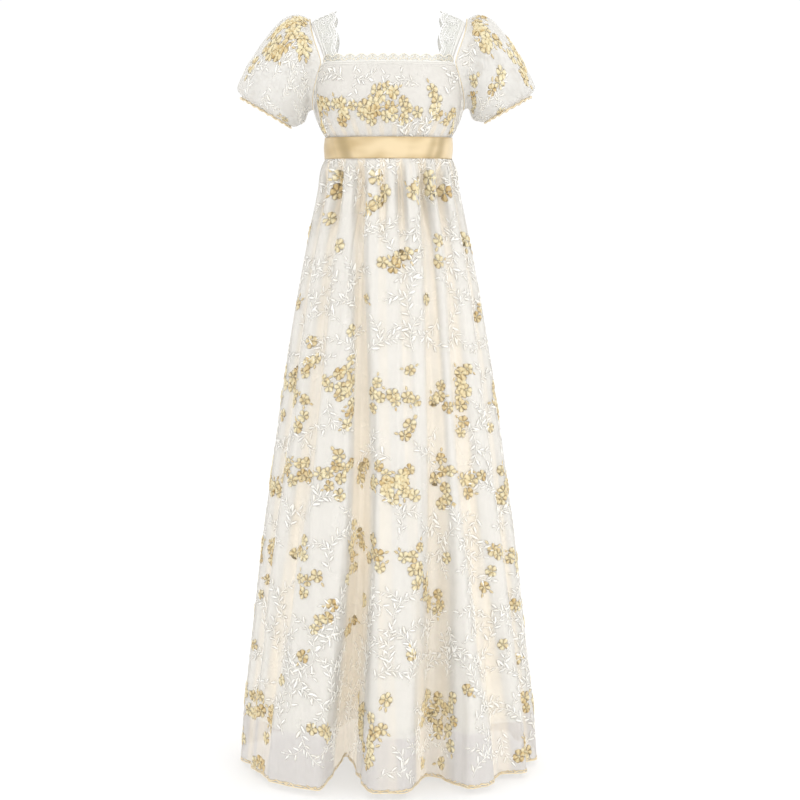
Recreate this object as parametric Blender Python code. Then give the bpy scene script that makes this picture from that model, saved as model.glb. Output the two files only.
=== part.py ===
"""Short-sleeved, high-waisted gown of embroidered tulle over a plain lining, held by the wearer's shoulders.

Metres, +Z up, the front faces -Y. The origin is midway between the shoulders, level with the strap tops.
Angles go round the body in degrees: 0 is the front, +90 the side at +X, 180 the back.
"""
import math

import bmesh
import bpy
import numpy as np

# Driving sizes
WALL = 0.0010            # thickness of every layer of cloth
SEAM = 0.0003            # gap that stitched edges and layers keep
LAYER = WALL + 0.0006    # step from one layer of cloth to the next
BODY_POWER = 2.3         # roundness of a body section, 2 is an ellipse
WAIST_SEAM = -0.2640     # where bodice and skirt meet, under the ribbon
RIBBON_TOP = -0.2456
RIBBON_BOTTOM = -0.2850
RIBBON_HALF_WIDTH = 0.1216
HEM = -1.4443
LINING_HEM = -1.3440
NECKLINE = -0.1110       # top edge of the outer bodice
RIM = 0.0045             # how far the lining stands above the outer bodice at the neckline
BACK_NECKLINE = -0.1180
ARMHOLE_CENTRE = -0.1060
ARMHOLE_HALF_HEIGHT = 0.0860
ARMHOLE_FRONT = 0.0620   # reach of the armhole ahead of and behind the shoulder line
ARMHOLE_BACK = 0.0520
SHOULDER_X = 0.1490      # where the sleeve head meets the strap at the top of the shoulder
SHOULDER_BEND = 1.2      # how late the armhole line runs out to the shoulder
SHOULDER_DROP = 0.40     # slope of the shoulder line
CORNER_ROUND = 0.0140    # the neckline turns down this far before the armhole
CORNER_DROP = 0.0080
STRAP_INNER_X = 0.1180
LACE_INNER_X = 0.0980
BAND_TAIL = 0.0100       # how far a shoulder band reaches down inside the bodice
LACE_SCALLOP = 0.0060    # depth of a scallop on the strap lace
EDGING_INSET = 0.0040    # how far inside the bodice the lace edging stands
EDGING_HEIGHT = 0.0135
EDGING_SCALLOP = 0.0040
EDGING_SCALLOPS = 15
EDGING_END = 64.5        # degrees round from the front to the edging's ends
BODICE_GATHERS = 14
CUFF_GATHERS = 14
SKIRT_LINING_INSET = 0.0040
LINING_INSET = 0.0052    # how far inside the gathered cloth the plain bodice lining lies
SIDE_SEAM_ANGLE = 0.12   # degrees from the side to the edge of a bodice half
PROBE_HEIGHT = -0.15     # the neckline's depth is read off the body at this height
GATHER_HEIGHTS = (-0.170, -0.205, -0.236, -0.246, -0.264)
GATHER_DEPTHS = (0.0, 0.0015, 0.0032, 0.0016, 0.0010)
GATHER_MIDDLE = 0.45     # share of the gathers' depth that is left in the middle
BODICE_EASE = (-0.145, -0.200)   # the bodice lining goes from its upper to its lower inset between these
SKIRT_EASE = (-0.285, -0.400)    # and the skirt lining between these
FOLD_START = -0.285      # folds start to widen here, just below the ribbon
FOLD_MIDDLE = -0.850
LEAN_BEND = 0.8          # how fast a fold's direction turns from straight back to inward
EDGING_HIDDEN = 0.0100   # how far the lace edging reaches down inside the bodice
EDGING_FOOT = 0.0010     # height of its lower bend above the rim
ARMHOLE_EASE = 0.0006    # gap between the sleeve's first row and the bodice

# Body sections: height, half width, depth to the front, depth to the back
BODICE_SECTIONS = [
    (-0.1000, 0.1455, 0.1030, 0.0960),
    (-0.1300, 0.1480, 0.1140, 0.0990),
    (-0.1650, 0.1480, 0.1230, 0.1010),
    (-0.1950, 0.1420, 0.1220, 0.1010),
    (-0.2185, 0.1340, 0.1140, 0.1000),
    (-0.2335, 0.1270, 0.1060, 0.0985),
    (-0.2450, 0.1198, 0.0995, 0.0955),
    (-0.2640, 0.1196, 0.0992, 0.0952),
]
SKIRT_SECTIONS = [
    (-0.2640, 0.1196, 0.0992, 0.0952),
    (-0.2855, 0.1199, 0.0996, 0.0956),
    (-0.2950, 0.1245, 0.1035, 0.0985),
    (-0.3476, 0.1351, 0.1130, 0.1070),
    (-0.4700, 0.1605, 0.1360, 0.1260),
    (-0.6550, 0.1930, 0.1660, 0.1540),
    (-0.8420, 0.2205, 0.1960, 0.1820),
    (-1.0300, 0.2465, 0.2260, 0.2090),
    (-1.2200, 0.2680, 0.2530, 0.2350),
    (-1.3500, 0.2828, 0.2720, 0.2520),
    (-1.4443, 0.2886, 0.2850, 0.2620),
]
# Folds: angle at waist, mid and hem; depth in mm below the ribbon, at the hips, mid and hem;
# half width in degrees to the -X side and to the +X side, at waist and at hem
FOLD_HEIGHTS = (-0.290, -0.470, -0.850, -1.4443)
FRONT_FOLDS = {
    "side_left": (-67, -66, -69, 2.5, 8, 12, 16, 7, 7, 10, 9),
    "left": (-49, -46, -57, 4.0, 13, 18, 16, 8, 8, 11, 10),
    "notch": (-28, -15, -19, 5.0, 24, 42, 150, 8, 8, 7, 14),
    "centre_left": (-6, -2, 0, 2.0, 2, 3, 4, 6, 6, 8, 8),
    "centre": (12, 12, 13, 4.0, 5, 4, 2, 7, 7, 4, 4),
    "right": (35, 26, 17, 5.0, 18, 32, 108, 8, 8, 12, 16),
    "outer_right": (53, 43, 50, 4.0, 13, 22, 38, 8, 8, 13, 12),
    "side_right": (72, 67, 71, 2.5, 8, 14, 24, 7, 7, 10, 9),
}
BACK_FOLDS = {
    "back_1": (112, 113, 112, 3.0, 10, 15, 22, 9, 9, 11, 12),
    "back_2": (133, 134, 134, 4.0, 15, 26, 44, 9, 9, 11, 12),
    "back_3": (153, 156, 160, 5.0, 18, 34, 62, 9, 9, 13, 12),
    "back_4": (176, 178, 184, 4.0, 15, 28, 48, 9, 9, 11, 11),
    "back_5": (199, 201, 206, 5.0, 18, 36, 66, 9, 9, 11, 12),
    "back_6": (222, 225, 228, 4.0, 15, 24, 40, 9, 9, 11, 11),
    "back_7": (246, 248, 248, 3.0, 10, 15, 22, 9, 9, 11, 11),
}
NOTCH_LIFT = 0.026       # how far the deepest fold lifts the hem
# Puff sleeve, from armhole to frill, in the plane across the arm:
# outer x, outer z, inner x, inner z, half depth, share of the armhole's own line, gather depth in mm
SLEEVE_SECTIONS = [
    (0.1490, -0.0200, 0.1490, -0.1920, 0.0620, 1.00, 0.0),
    (0.1590, -0.0110, 0.1520, -0.2000, 0.0700, 0.55, 1.5),
    (0.1760, -0.0095, 0.1560, -0.2080, 0.0790, 0.15, 1.0),
    (0.2030, -0.0215, 0.1610, -0.2155, 0.0870, 0.00, 0.0),
    (0.2370, -0.0600, 0.1660, -0.2200, 0.0905, 0.00, 0.0),
    (0.2700, -0.1085, 0.1735, -0.2230, 0.0860, 0.00, 1.0),
    (0.2885, -0.1440, 0.1810, -0.2240, 0.0730, 0.00, 3.0),
    (0.2870, -0.1570, 0.1845, -0.2225, 0.0640, 0.00, 2.5),
    (0.2795, -0.1655, 0.1865, -0.2215, 0.0560, 0.00, 1.5),
    (0.2830, -0.1700, 0.1855, -0.2270, 0.0590, 0.00, 3.0),
]
# Each sleeve, by the wearer's side: which way it points, how far it stands out, how far its cuff hangs
SLEEVES = {"left": (1, 0.93, 0.88), "right": (-1, 1.00, 1.00)}
CUFF_FROM = -0.15        # the cuff's own hang starts below this height
HEAD_FOLLOW = 0.8        # how much of a row's step outwards the armhole's line takes along

# How finely the walls are cut
SKIRT_HEIGHTS = [-0.2855, -0.2950, -0.3350, -0.4200, -0.5600, -0.7500, -0.9500, -1.1500, LINING_HEM, HEM]
FRONT_COLUMNS = 48
BACK_COLUMNS = 42
SLEEVE_COLUMNS = 42
BAND_STEPS = 24
BAND_COLUMNS = 2
LACE_SHARE = 0.72        # part of the shoulder band's width that the lace covers
SCALLOP_STEPS = 4        # band steps in one scallop
EDGING_STEPS = 3         # columns in one scallop of the edging
RIBBON_COLUMNS = 72
BODICE_ROWS = 5
BODICE_FRONT_COLUMNS = 56
BODICE_BACK_COLUMNS = 42

# Colours, roughness
TULLE = ((0.90, 0.87, 0.80, 1.0), 0.75)
PLAIN = ((0.92, 0.91, 0.88, 1.0), 0.60)
LACE = ((0.93, 0.92, 0.88, 1.0), 0.80)
SATIN = ((0.80, 0.62, 0.28, 1.0), 0.30)


def clear_scene():
    for item in list(bpy.data.objects):
        bpy.data.objects.remove(item, do_unlink=True)


def material(name, look):
    made = bpy.data.materials.new(name)
    made.use_nodes = True
    shader = made.node_tree.nodes["Principled BSDF"]
    shader.inputs["Base Color"].default_value = look[0]
    shader.inputs["Roughness"].default_value = look[1]
    shader.inputs["Metallic"].default_value = 0.0
    return made


def at_height(table, z):
    """A table's values at a height, its first column, which falls down the rows."""
    rows = np.array(table)
    heights = -rows[:, 0]
    return [float(np.interp(-z, heights, rows[:, column])) for column in range(1, rows.shape[1])]


def body_point(sections, angle, z, inset=0.0):
    """Point on a section of the body, moved in from its outer face."""
    half_width, front, back = at_height(sections, z)
    turn = math.radians(angle)
    side = math.sin(turn)
    ahead = math.cos(turn)
    depth = front if ahead > 0 else back
    reach = ((abs(side) / (half_width - inset)) ** BODY_POWER
             + (abs(ahead) / (depth - inset)) ** BODY_POWER) ** (-1 / BODY_POWER)
    return reach * side, -reach * ahead


def body_half_width(y, z, inset=0.0):
    """Half width of the bodice at a depth: how far out its surface lies there."""
    half_width, front, back = at_height(BODICE_SECTIONS, z)
    depth = (front if y < 0 else back) - inset
    share = min(1.0, abs(y) / depth)
    return (half_width - inset) * (1 - share ** BODY_POWER) ** (1 / BODY_POWER)


def body_depth(x, z, front_side, inset=0.0):
    half_width, front, back = at_height(BODICE_SECTIONS, z)
    depth = (front if front_side else back) - inset
    share = min(0.995, abs(x) / (half_width - inset))
    return depth * (1 - share ** BODY_POWER) ** (1 / BODY_POWER)


def fold_angle(row, z):
    return float(np.interp(-z, [-FOLD_START, -FOLD_MIDDLE, -HEM], row[0:3]))


def fold_push(row, angle, z):
    """Depth of one fold at a point, with a soft bottom and soft lips."""
    centre = fold_angle(row, z)
    heights = [-SKIRT_HEIGHTS[0]] + [-height for height in FOLD_HEIGHTS]
    depth = float(np.interp(-z, heights, (0.0,) + row[3:7])) / 1000
    drop = min(1.0, max(0.0, (FOLD_START - z) / (FOLD_START - HEM)))
    side = 0 if angle < centre else 1
    width = row[7 + side] + (row[9 + side] - row[7 + side]) * drop
    share = abs(angle - centre) / width
    if share >= 1:
        return 0.0
    return depth * (0.5 + 0.5 * math.cos(math.pi * share))


def skirt_point(angle, z, inset, folds):
    """Point of the skirt with its folds: they sink straight back at the front and inward at the sides."""
    x, y = body_point(SKIRT_SECTIONS, angle, z, inset)
    push = sum(fold_push(row, angle, z) for row in folds.values())
    from_middle = angle if abs(angle) <= 90 else angle - 180
    lean = math.radians(from_middle * abs(from_middle / 90) ** LEAN_BEND)
    forward = 1 if abs(angle) <= 90 else -1
    lift = 0.0
    if "notch" in folds:
        lift = NOTCH_LIFT * fold_push(folds["notch"], angle, z) / (folds["notch"][6] / 1000)
    return np.array((x - push * math.sin(lean) * forward, y + push * math.cos(lean) * forward, z + lift))


def shared_columns(folds, start, end, count):
    """How many columns go between each fold and the next, by the length of hem between them."""
    anchors = [start] + [row[2] for row in folds.values()] + [end]
    lengths = [section_length(folds, first, last, HEM) for first, last in zip(anchors, anchors[1:])]
    return [max(4, round(count * length / sum(lengths))) for length in lengths]


def section_length(folds, first, last, z):
    points = [skirt_point(angle, z, 0, folds)[:2] for angle in np.linspace(first, last, 60)]
    return sum(np.linalg.norm(b - a) for a, b in zip(points, points[1:]))


def level_angles(folds, start, end, counts, z):
    """Column angles at a height: evenly along the cloth between one fold's line and the next."""
    anchors = [start] + [fold_angle(row, z) for row in folds.values()] + [end]
    angles = [start]
    for first, last, count in zip(anchors, anchors[1:], counts):
        fine = np.linspace(first, last, 80)
        points = [skirt_point(angle, z, 0, folds)[:2] for angle in fine]
        run = np.cumsum([0.0] + [np.linalg.norm(b - a) for a, b in zip(points, points[1:])])
        angles += list(np.interp(np.linspace(0, run[-1], count + 1)[1:], run, fine))
    return angles


def moved_in(points, distance):
    """Points of a level moved in, square to the line through them."""
    moved = []
    last = len(points) - 1
    for index, point in enumerate(points):
        before = points[max(0, index - 1)]
        after = points[min(last, index + 1)]
        along = (after - before)[:2]
        along = along / np.linalg.norm(along)
        moved.append(point + distance * np.array((-along[1], along[0], 0.0)))
    return moved


def wall(name, outer, inner, look, closed=False):
    """Solid between two grids of points, level by level. A closed wall joins its last column to its first."""
    mesh = bmesh.new()
    levels = len(outer)
    columns = len(outer[0])
    faces = [[[mesh.verts.new(point) for point in level] for level in grid] for grid in (outer, inner)]
    steps = columns if closed else columns - 1
    for level in range(levels - 1):
        for column in range(steps):
            after = (column + 1) % columns
            for grid in faces:
                mesh.faces.new((grid[level][column], grid[level][after],
                                grid[level + 1][after], grid[level + 1][column]))
    for level in (0, levels - 1):
        for column in range(steps):
            after = (column + 1) % columns
            mesh.faces.new((faces[0][level][column], faces[0][level][after],
                            faces[1][level][after], faces[1][level][column]))
    if not closed:
        for column in (0, columns - 1):
            for level in range(levels - 1):
                mesh.faces.new((faces[0][level][column], faces[0][level + 1][column],
                                faces[1][level + 1][column], faces[1][level][column]))
    bmesh.ops.recalc_face_normals(mesh, faces=mesh.faces)
    data = bpy.data.meshes.new(name)
    mesh.to_mesh(data)
    mesh.free()
    data.shade_smooth()
    made = bpy.data.objects.new(name, data)
    made.data.materials.append(material(name, look))
    bpy.context.collection.objects.link(made)
    return made


def skirt_panel(name, folds, start, end, columns, hem, insets, look):
    """Half a skirt layer between two side seams; insets say how far in it lies at the waist and below it."""
    counts = shared_columns(folds, start, end, columns)
    outer = []
    inner = []
    for z in [WAIST_SEAM - SEAM] + [height for height in SKIRT_HEIGHTS if height >= hem]:
        angles = level_angles(folds, start, end, counts, z)
        points = [skirt_point(angle, z, 0, folds) for angle in angles]
        points = part_at_seams(points)
        depth = float(np.interp(-z, [-height for height in SKIRT_EASE], insets))
        outer.append(moved_in(points, depth))
        inner.append(moved_in(points, depth + WALL))
    wall(name, outer, inner, look)


def part_at_seams(points):
    """The first and last points drawn back from the side seam by half its gap, front and back alike."""
    for index, neighbour in ((0, 1), (-1, -2)):
        toward = points[neighbour] - points[index]
        points[index] = points[index] + toward / np.linalg.norm(toward) * SEAM
    return points


def neck_height(y, front_side, level):
    """Top edge of the bodice: the neckline, then down round the armhole."""
    reach = ARMHOLE_FRONT if front_side else ARMHOLE_BACK
    if abs(y) >= reach:
        past = min(1.0, (abs(y) - reach) / CORNER_ROUND)
        return level - CORNER_DROP * (1 - past) ** 2
    level = level - CORNER_DROP
    return min(level, ARMHOLE_CENTRE - ARMHOLE_HALF_HEIGHT * math.sqrt(1 - (y / reach) ** 2))


def gather_push(share, z, count):
    """Gathers that the ribbon draws in, deeper near the sides and gone above the bust."""
    drawn = float(np.interp(-z, [-height for height in GATHER_HEIGHTS], GATHER_DEPTHS))
    sideways = GATHER_MIDDLE + (1 - GATHER_MIDDLE) * abs(2 * share - 1)
    return drawn * sideways * (0.5 - 0.5 * math.cos(2 * math.pi * count * share))


def bodice_panel(name, start, end, level, insets, gathers, columns, rows, look):
    """Half a bodice layer, from its neck and armhole edge down to the waist seam; insets are at neck and waist."""
    front_side = start < 0
    margin = SIDE_SEAM_ANGLE
    shares = np.linspace(0, 1, columns + 1)
    outer = [[] for _ in range(rows + 1)]
    inner = [[] for _ in range(rows + 1)]
    for share in shares:
        angle = start + margin + (end - start - 2 * margin) * share
        probe = body_point(BODICE_SECTIONS, angle, PROBE_HEIGHT)
        top = neck_height(probe[1], front_side, level)
        bottom = WAIST_SEAM + SEAM
        heights = list(np.linspace(top, BODICE_SECTIONS[-3][0], rows - 1)) + [BODICE_SECTIONS[-2][0], bottom]
        for row, z in enumerate(heights):
            push = gather_push(share, z, gathers) if gathers else 0.0
            push = push + float(np.interp(-z, [-height for height in BODICE_EASE], insets))
            for grid, inset in ((outer, push), (inner, push + WALL)):
                x, y = body_point(BODICE_SECTIONS, angle, z, inset)
                grid[row].append((x, y, z))
    wall(name, outer, inner, look)


def armhole_point(turn, reach=0.0):
    """Point of the armhole line. Turn 0 is the top of the shoulder, 90 the front."""
    swing = math.radians(turn)
    depth = ARMHOLE_FRONT if math.sin(swing) > 0 else ARMHOLE_BACK
    y = -(depth + reach) * math.sin(swing)
    z = ARMHOLE_CENTRE + (ARMHOLE_HALF_HEIGHT + reach) * math.cos(swing)
    edge = body_half_width(y, min(z, ARMHOLE_CENTRE)) + ARMHOLE_EASE
    if math.cos(swing) > 0:
        edge = edge + (SHOULDER_X - edge) * math.cos(swing) ** SHOULDER_BEND
    return np.array((edge, y, z))


def sleeve_point(row, turn, inset):
    outer_x, outer_z, inner_x, inner_z, half_depth, own_line, gather = row
    swing = math.radians(turn)
    wave = gather / 1000 * (0.5 - 0.5 * math.cos(CUFF_GATHERS * swing))
    centre = np.array(((outer_x + inner_x) / 2, 0.0, (outer_z + inner_z) / 2))
    half = np.array(((outer_x - inner_x) / 2, 0.0, (outer_z - inner_z) / 2))
    length = np.linalg.norm(half)
    shrink = inset + wave
    flat = centre + half * (1 - shrink / length) * math.cos(swing)
    flat[1] = -(half_depth - shrink) * math.sin(swing)
    if own_line > 0:
        line = armhole_point(turn, -shrink)
        line[0] = line[0] + (outer_x - SLEEVE_SECTIONS[0][0]) * HEAD_FOLLOW
        flat = flat + (line - flat) * own_line
    return flat


def sleeve(name, side, reach, hang):
    outer = []
    inner = []
    for row in SLEEVE_SECTIONS:
        for grid, inset in ((outer, 0.0), (inner, WALL)):
            level = []
            for column in range(SLEEVE_COLUMNS):
                x, y, z = sleeve_point(row, 360 * column / SLEEVE_COLUMNS, inset)
                out = SHOULDER_X + (x - SHOULDER_X) * reach if x > SHOULDER_X else x
                down = z if z > CUFF_FROM else CUFF_FROM + (z - CUFF_FROM) * hang
                level.append((side * out, y, down if row is not SLEEVE_SECTIONS[0] else z))
            grid.append(level)
    wall(name, outer, inner, TULLE, closed=True)


def strap_point(across, turn, inset, inner_x):
    """Point of a shoulder band. Across 0 is the neck side and 1 the armhole; turn -90 is its front end."""
    front_side = turn < 0
    corner_y = -ARMHOLE_FRONT if front_side else ARMHOLE_BACK
    corner = math.atan2(body_half_width(corner_y, ARMHOLE_CENTRE), abs(corner_y))
    neck = math.atan2(inner_x, body_depth(inner_x, ARMHOLE_CENTRE, front_side))
    angle = math.degrees(neck + (corner - neck) * across)
    end_x, end_y = body_point(BODICE_SECTIONS, angle if front_side else 180 - angle, ARMHOLE_CENTRE, inset)
    top_x = inner_x + (SHOULDER_X - 2 * SEAM - inner_x) * across
    top_z = -SHOULDER_DROP * (top_x - LACE_INNER_X) - inset
    swing = math.radians(abs(turn))
    rise = math.cos(swing)
    x = end_x + (top_x - end_x) * rise ** SHOULDER_BEND
    return np.array((x, end_y * math.sin(swing), ARMHOLE_CENTRE + (top_z - ARMHOLE_CENTRE) * rise))


def shoulder_band(name, side, inner_x, outer_share, inset, scallop):
    """Band over the shoulder, sewn inside the bodice at both ends."""
    outer = []
    inner = []
    for index, turn in enumerate(np.linspace(-90, 90, BAND_STEPS + 1)):
        wave = scallop * (0.5 - 0.5 * math.cos(2 * math.pi * index / SCALLOP_STEPS)) if scallop else 0.0
        for grid, depth in ((outer, inset), (inner, inset + WALL)):
            level = []
            for column in range(BAND_COLUMNS + 1):
                across = outer_share * column / BAND_COLUMNS
                point = strap_point(across, turn, depth, inner_x)
                if column == 0:
                    point[0] = point[0] + wave
                point[0] = point[0] * side
                level.append(point)
            grid.append(level)
    for grid in (outer, inner):
        grid.insert(0, [point - np.array((0, 0, BAND_TAIL)) for point in grid[0]])
        grid.append([point - np.array((0, 0, BAND_TAIL)) for point in grid[-1]])
    wall(name, outer, inner, LACE if scallop else PLAIN)


def neck_edging():
    """Scalloped lace that stands up inside the front neckline and turns down at the armholes."""
    columns = EDGING_SCALLOPS * EDGING_STEPS
    outer = [[], [], []]
    inner = [[], [], []]
    for column in range(columns + 1):
        angle = EDGING_END * (2 * column / columns - 1)
        probe = body_point(BODICE_SECTIONS, angle, PROBE_HEIGHT)
        rim = neck_height(probe[1], True, NECKLINE) + RIM
        wave = EDGING_SCALLOP * abs(math.sin(math.pi * EDGING_SCALLOPS * column / columns))
        heights = (rim - EDGING_HIDDEN, rim + EDGING_FOOT, rim + EDGING_HEIGHT - EDGING_SCALLOP + wave)
        for row, z in enumerate(heights):
            for grid, depth in ((outer, EDGING_INSET), (inner, EDGING_INSET + WALL)):
                x, y = body_point(BODICE_SECTIONS, angle, min(z, NECKLINE + RIM), depth)
                grid[row].append((x, y, z))
    wall("neck_edging", outer, inner, LACE)


def ribbon():
    """Satin ribbon round the high waist, over the seam of bodice and skirt."""
    grow = RIBBON_HALF_WIDTH - at_height(SKIRT_SECTIONS, WAIST_SEAM)[0]
    outer = []
    inner = []
    for z in (RIBBON_TOP, RIBBON_BOTTOM):
        outer.append([])
        inner.append([])
        for column in range(RIBBON_COLUMNS):
            angle = 360 * column / RIBBON_COLUMNS - 180
            for grid, inset in ((outer, -grow), (inner, WALL - grow)):
                x, y = body_point(SKIRT_SECTIONS, angle, WAIST_SEAM, inset)
                grid[-1].append((x, y, z))
    wall("waist_ribbon", outer, inner, SATIN, closed=True)


def build():
    clear_scene()
    level = (0.0, 0.0)
    skirt_lining = (LAYER, SKIRT_LINING_INSET)
    bodice_lining = (LAYER, LINING_INSET)
    skirt_panel("skirt_front", FRONT_FOLDS, -90, 90, FRONT_COLUMNS, HEM, level, TULLE)
    skirt_panel("skirt_back", BACK_FOLDS, 90, 270, BACK_COLUMNS, HEM, level, TULLE)
    skirt_panel("skirt_lining_front", FRONT_FOLDS, -90, 90, FRONT_COLUMNS, LINING_HEM, skirt_lining, PLAIN)
    skirt_panel("skirt_lining_back", BACK_FOLDS, 90, 270, BACK_COLUMNS, LINING_HEM, skirt_lining, PLAIN)
    bodice_panel("bodice_front", -90, 90, NECKLINE, level, BODICE_GATHERS, BODICE_FRONT_COLUMNS, BODICE_ROWS, TULLE)
    bodice_panel("bodice_back", 90, 270, BACK_NECKLINE, level, BODICE_GATHERS, BODICE_BACK_COLUMNS, BODICE_ROWS,
                 TULLE)
    bodice_panel("bodice_lining_front", -90, 90, NECKLINE + RIM, bodice_lining, 0, BODICE_FRONT_COLUMNS // 2,
                 BODICE_ROWS, PLAIN)
    bodice_panel("bodice_lining_back", 90, 270, BACK_NECKLINE + RIM, bodice_lining, 0, BODICE_BACK_COLUMNS // 2,
                 BODICE_ROWS, PLAIN)
    band_inset = EDGING_INSET + 2 * LAYER + 3 * SEAM
    lace_inset = EDGING_INSET + LAYER + 2 * SEAM
    for name, (side, reach, hang) in SLEEVES.items():
        sleeve(f"sleeve_{name}", side, reach, hang)
        shoulder_band(f"strap_{name}", side, STRAP_INNER_X, 1.0, band_inset, 0.0)
        shoulder_band(f"strap_lace_{name}", side, LACE_INNER_X, LACE_SHARE, lace_inset, LACE_SCALLOP)
    neck_edging()
    ribbon()


build()
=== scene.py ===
import math

import bpy
import numpy as np
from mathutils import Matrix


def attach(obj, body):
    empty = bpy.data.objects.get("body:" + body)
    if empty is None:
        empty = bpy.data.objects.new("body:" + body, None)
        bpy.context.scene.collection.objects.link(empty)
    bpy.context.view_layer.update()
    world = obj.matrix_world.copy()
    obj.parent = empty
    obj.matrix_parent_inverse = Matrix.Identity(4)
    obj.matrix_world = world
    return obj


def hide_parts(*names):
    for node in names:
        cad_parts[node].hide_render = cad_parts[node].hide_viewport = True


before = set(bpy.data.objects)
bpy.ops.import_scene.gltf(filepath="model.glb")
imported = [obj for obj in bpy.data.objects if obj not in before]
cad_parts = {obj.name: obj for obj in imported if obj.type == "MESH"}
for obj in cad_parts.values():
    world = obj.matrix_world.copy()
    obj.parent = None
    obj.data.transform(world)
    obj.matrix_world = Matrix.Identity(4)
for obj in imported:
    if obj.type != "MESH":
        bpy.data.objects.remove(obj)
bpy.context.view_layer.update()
random = np.random.default_rng(7)
print("frame loaded:", len(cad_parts), "nodes")

# The gown's measures, as in its solids: metres, origin between the shoulders, the front faces -Y.
# Angles go round the body in degrees: 0 is the front, 90 the side at +X, 180 the back.
gown = {
    "roundness": 2.3,
    "waistSeam": -0.2640,
    "hem": -1.4443,
    "liningHem": -1.3440,
    "seamGap": 0.0003,
    "netThickness": 0.0005,
    "clothThickness": 0.0006,
}
# height, half width, depth to the front, depth to the back
bodiceRows = [
    (-0.1000, 0.1455, 0.1030, 0.0960),
    (-0.1300, 0.1480, 0.1140, 0.0990),
    (-0.1650, 0.1480, 0.1230, 0.1010),
    (-0.1950, 0.1420, 0.1220, 0.1010),
    (-0.2185, 0.1340, 0.1140, 0.1000),
    (-0.2335, 0.1270, 0.1060, 0.0985),
    (-0.2450, 0.1198, 0.0995, 0.0955),
    (-0.2640, 0.1196, 0.0992, 0.0952),
]
skirtRows = [
    (-0.2640, 0.1196, 0.0992, 0.0952),
    (-0.2855, 0.1199, 0.0996, 0.0956),
    (-0.2950, 0.1245, 0.1035, 0.0985),
    (-0.3476, 0.1351, 0.1130, 0.1070),
    (-0.4700, 0.1605, 0.1360, 0.1260),
    (-0.6550, 0.1930, 0.1660, 0.1540),
    (-0.8420, 0.2205, 0.1960, 0.1820),
    (-1.0300, 0.2465, 0.2260, 0.2090),
    (-1.2200, 0.2680, 0.2530, 0.2350),
    (-1.3500, 0.2828, 0.2720, 0.2520),
    (-1.4443, 0.2886, 0.2850, 0.2620),
]


def smoothAt(at, places, values):
    places = np.asarray(places, float)
    values = np.asarray(values, float)
    slopes = np.gradient(values, places)
    index = np.clip(np.searchsorted(places, at) - 1, 0, len(places) - 2)
    width = places[index + 1] - places[index]
    t = np.clip((at - places[index]) / width, 0, 1)
    first = values[index] * (2 * t**3 - 3 * t**2 + 1) + slopes[index] * width * (t**3 - 2 * t**2 + t)
    last = values[index + 1] * (3 * t**2 - 2 * t**3) + slopes[index + 1] * width * (t**3 - t**2)
    return first + last


def rowsAt(rows, z):
    table = np.array(rows)
    drop = -np.asarray(z, float)
    return [smoothAt(drop, -table[:, 0], column) for column in table.T[1:]]


def between(at, table):
    return np.interp(at, *zip(*table))


def rising(values, start, width):
    share = np.clip((values - start) / width, 0, 1)
    return share * share * (3 - 2 * share)


def bodyPoint(rows, angle, z, inset=0.0):
    halfWidth, front, back = rowsAt(rows, z)
    side = np.sin(np.radians(angle))
    ahead = np.cos(np.radians(angle))
    depth = np.where(ahead > 0, front, back)
    power = gown["roundness"]
    reach = (np.abs(side) / (halfWidth - inset)) ** power + (np.abs(ahead) / (depth - inset)) ** power
    reach = reach ** (-1 / power)
    return reach * side, -reach * ahead


# A cloth is a grid of points, rows from top to bottom, with its normals and its size as it was cut
def normalsOf(points, wrap=False):
    across = np.gradient(points, axis=1)
    if wrap:
        across[:, 0] = points[:, 1] - points[:, -2]
        across[:, -1] = across[:, 0]
    down = np.gradient(points, axis=0)
    normal = np.cross(down, across)
    return normal / np.maximum(np.linalg.norm(normal, axis=2, keepdims=True), 1e-12)


def clothFrom(points, fold=None, wrap=False, outward=None):
    normals = normalsOf(points, wrap)
    centre = outward if outward is not None else np.array((0.0, 0.0, 1.0)) * points[..., 2:3]
    if np.mean(np.sum(normals * (points - centre), axis=2)) < 0:
        normals = -normals
    steps = np.linalg.norm(np.diff(points, axis=1), axis=2)
    drops = np.linalg.norm(np.diff(points, axis=0), axis=2).mean(axis=1)
    return {
        "points": points,
        "normals": normals,
        "lengths": steps.sum(axis=1),
        "down": np.concatenate(([0.0], np.cumsum(drops))),
        "fold": np.zeros(points.shape[:2]) if fold is None else fold,
        "wrap": wrap,
    }


def onCloth(cloth, share, down, height):
    rowCount, columnCount = cloth["points"].shape[:2]
    row = np.clip(np.interp(down, cloth["down"], np.arange(rowCount)), 0, rowCount - 1.001)
    column = share * (columnCount - 1)
    if cloth["wrap"]:
        column = column % (columnCount - 1)
    column = np.clip(column, 0, columnCount - 1.001)
    r = row.astype(int)
    c = column.astype(int)
    dr = (row - r)[..., None]
    dc = (column - c)[..., None]

    def mixed(values):
        top = values[r, c] * (1 - dc) + values[r, c + 1] * dc
        low = values[r + 1, c] * (1 - dc) + values[r + 1, c + 1] * dc
        return top * (1 - dr) + low * dr

    normal = mixed(cloth["normals"])
    normal = normal / np.linalg.norm(normal, axis=-1, keepdims=True)
    point = mixed(cloth["points"]) + normal * np.asarray(height)[..., None]
    fold = mixed(cloth["fold"][..., None])[..., 0]
    return point, normal, fold


def lengthAt(cloth, down):
    return np.interp(down, cloth["down"], cloth["lengths"])


def whollyOn(cloth, share, down, margin):
    inside = (down > margin) & (down < cloth["down"][-1] - margin)
    if not cloth["wrap"]:
        inside &= (share > 0.001) & (share < 0.999)
    return inside.all(axis=1)


# A part is a dictionary of corners, faces, a cloth map and a few values for each corner
triangles = {}


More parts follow.
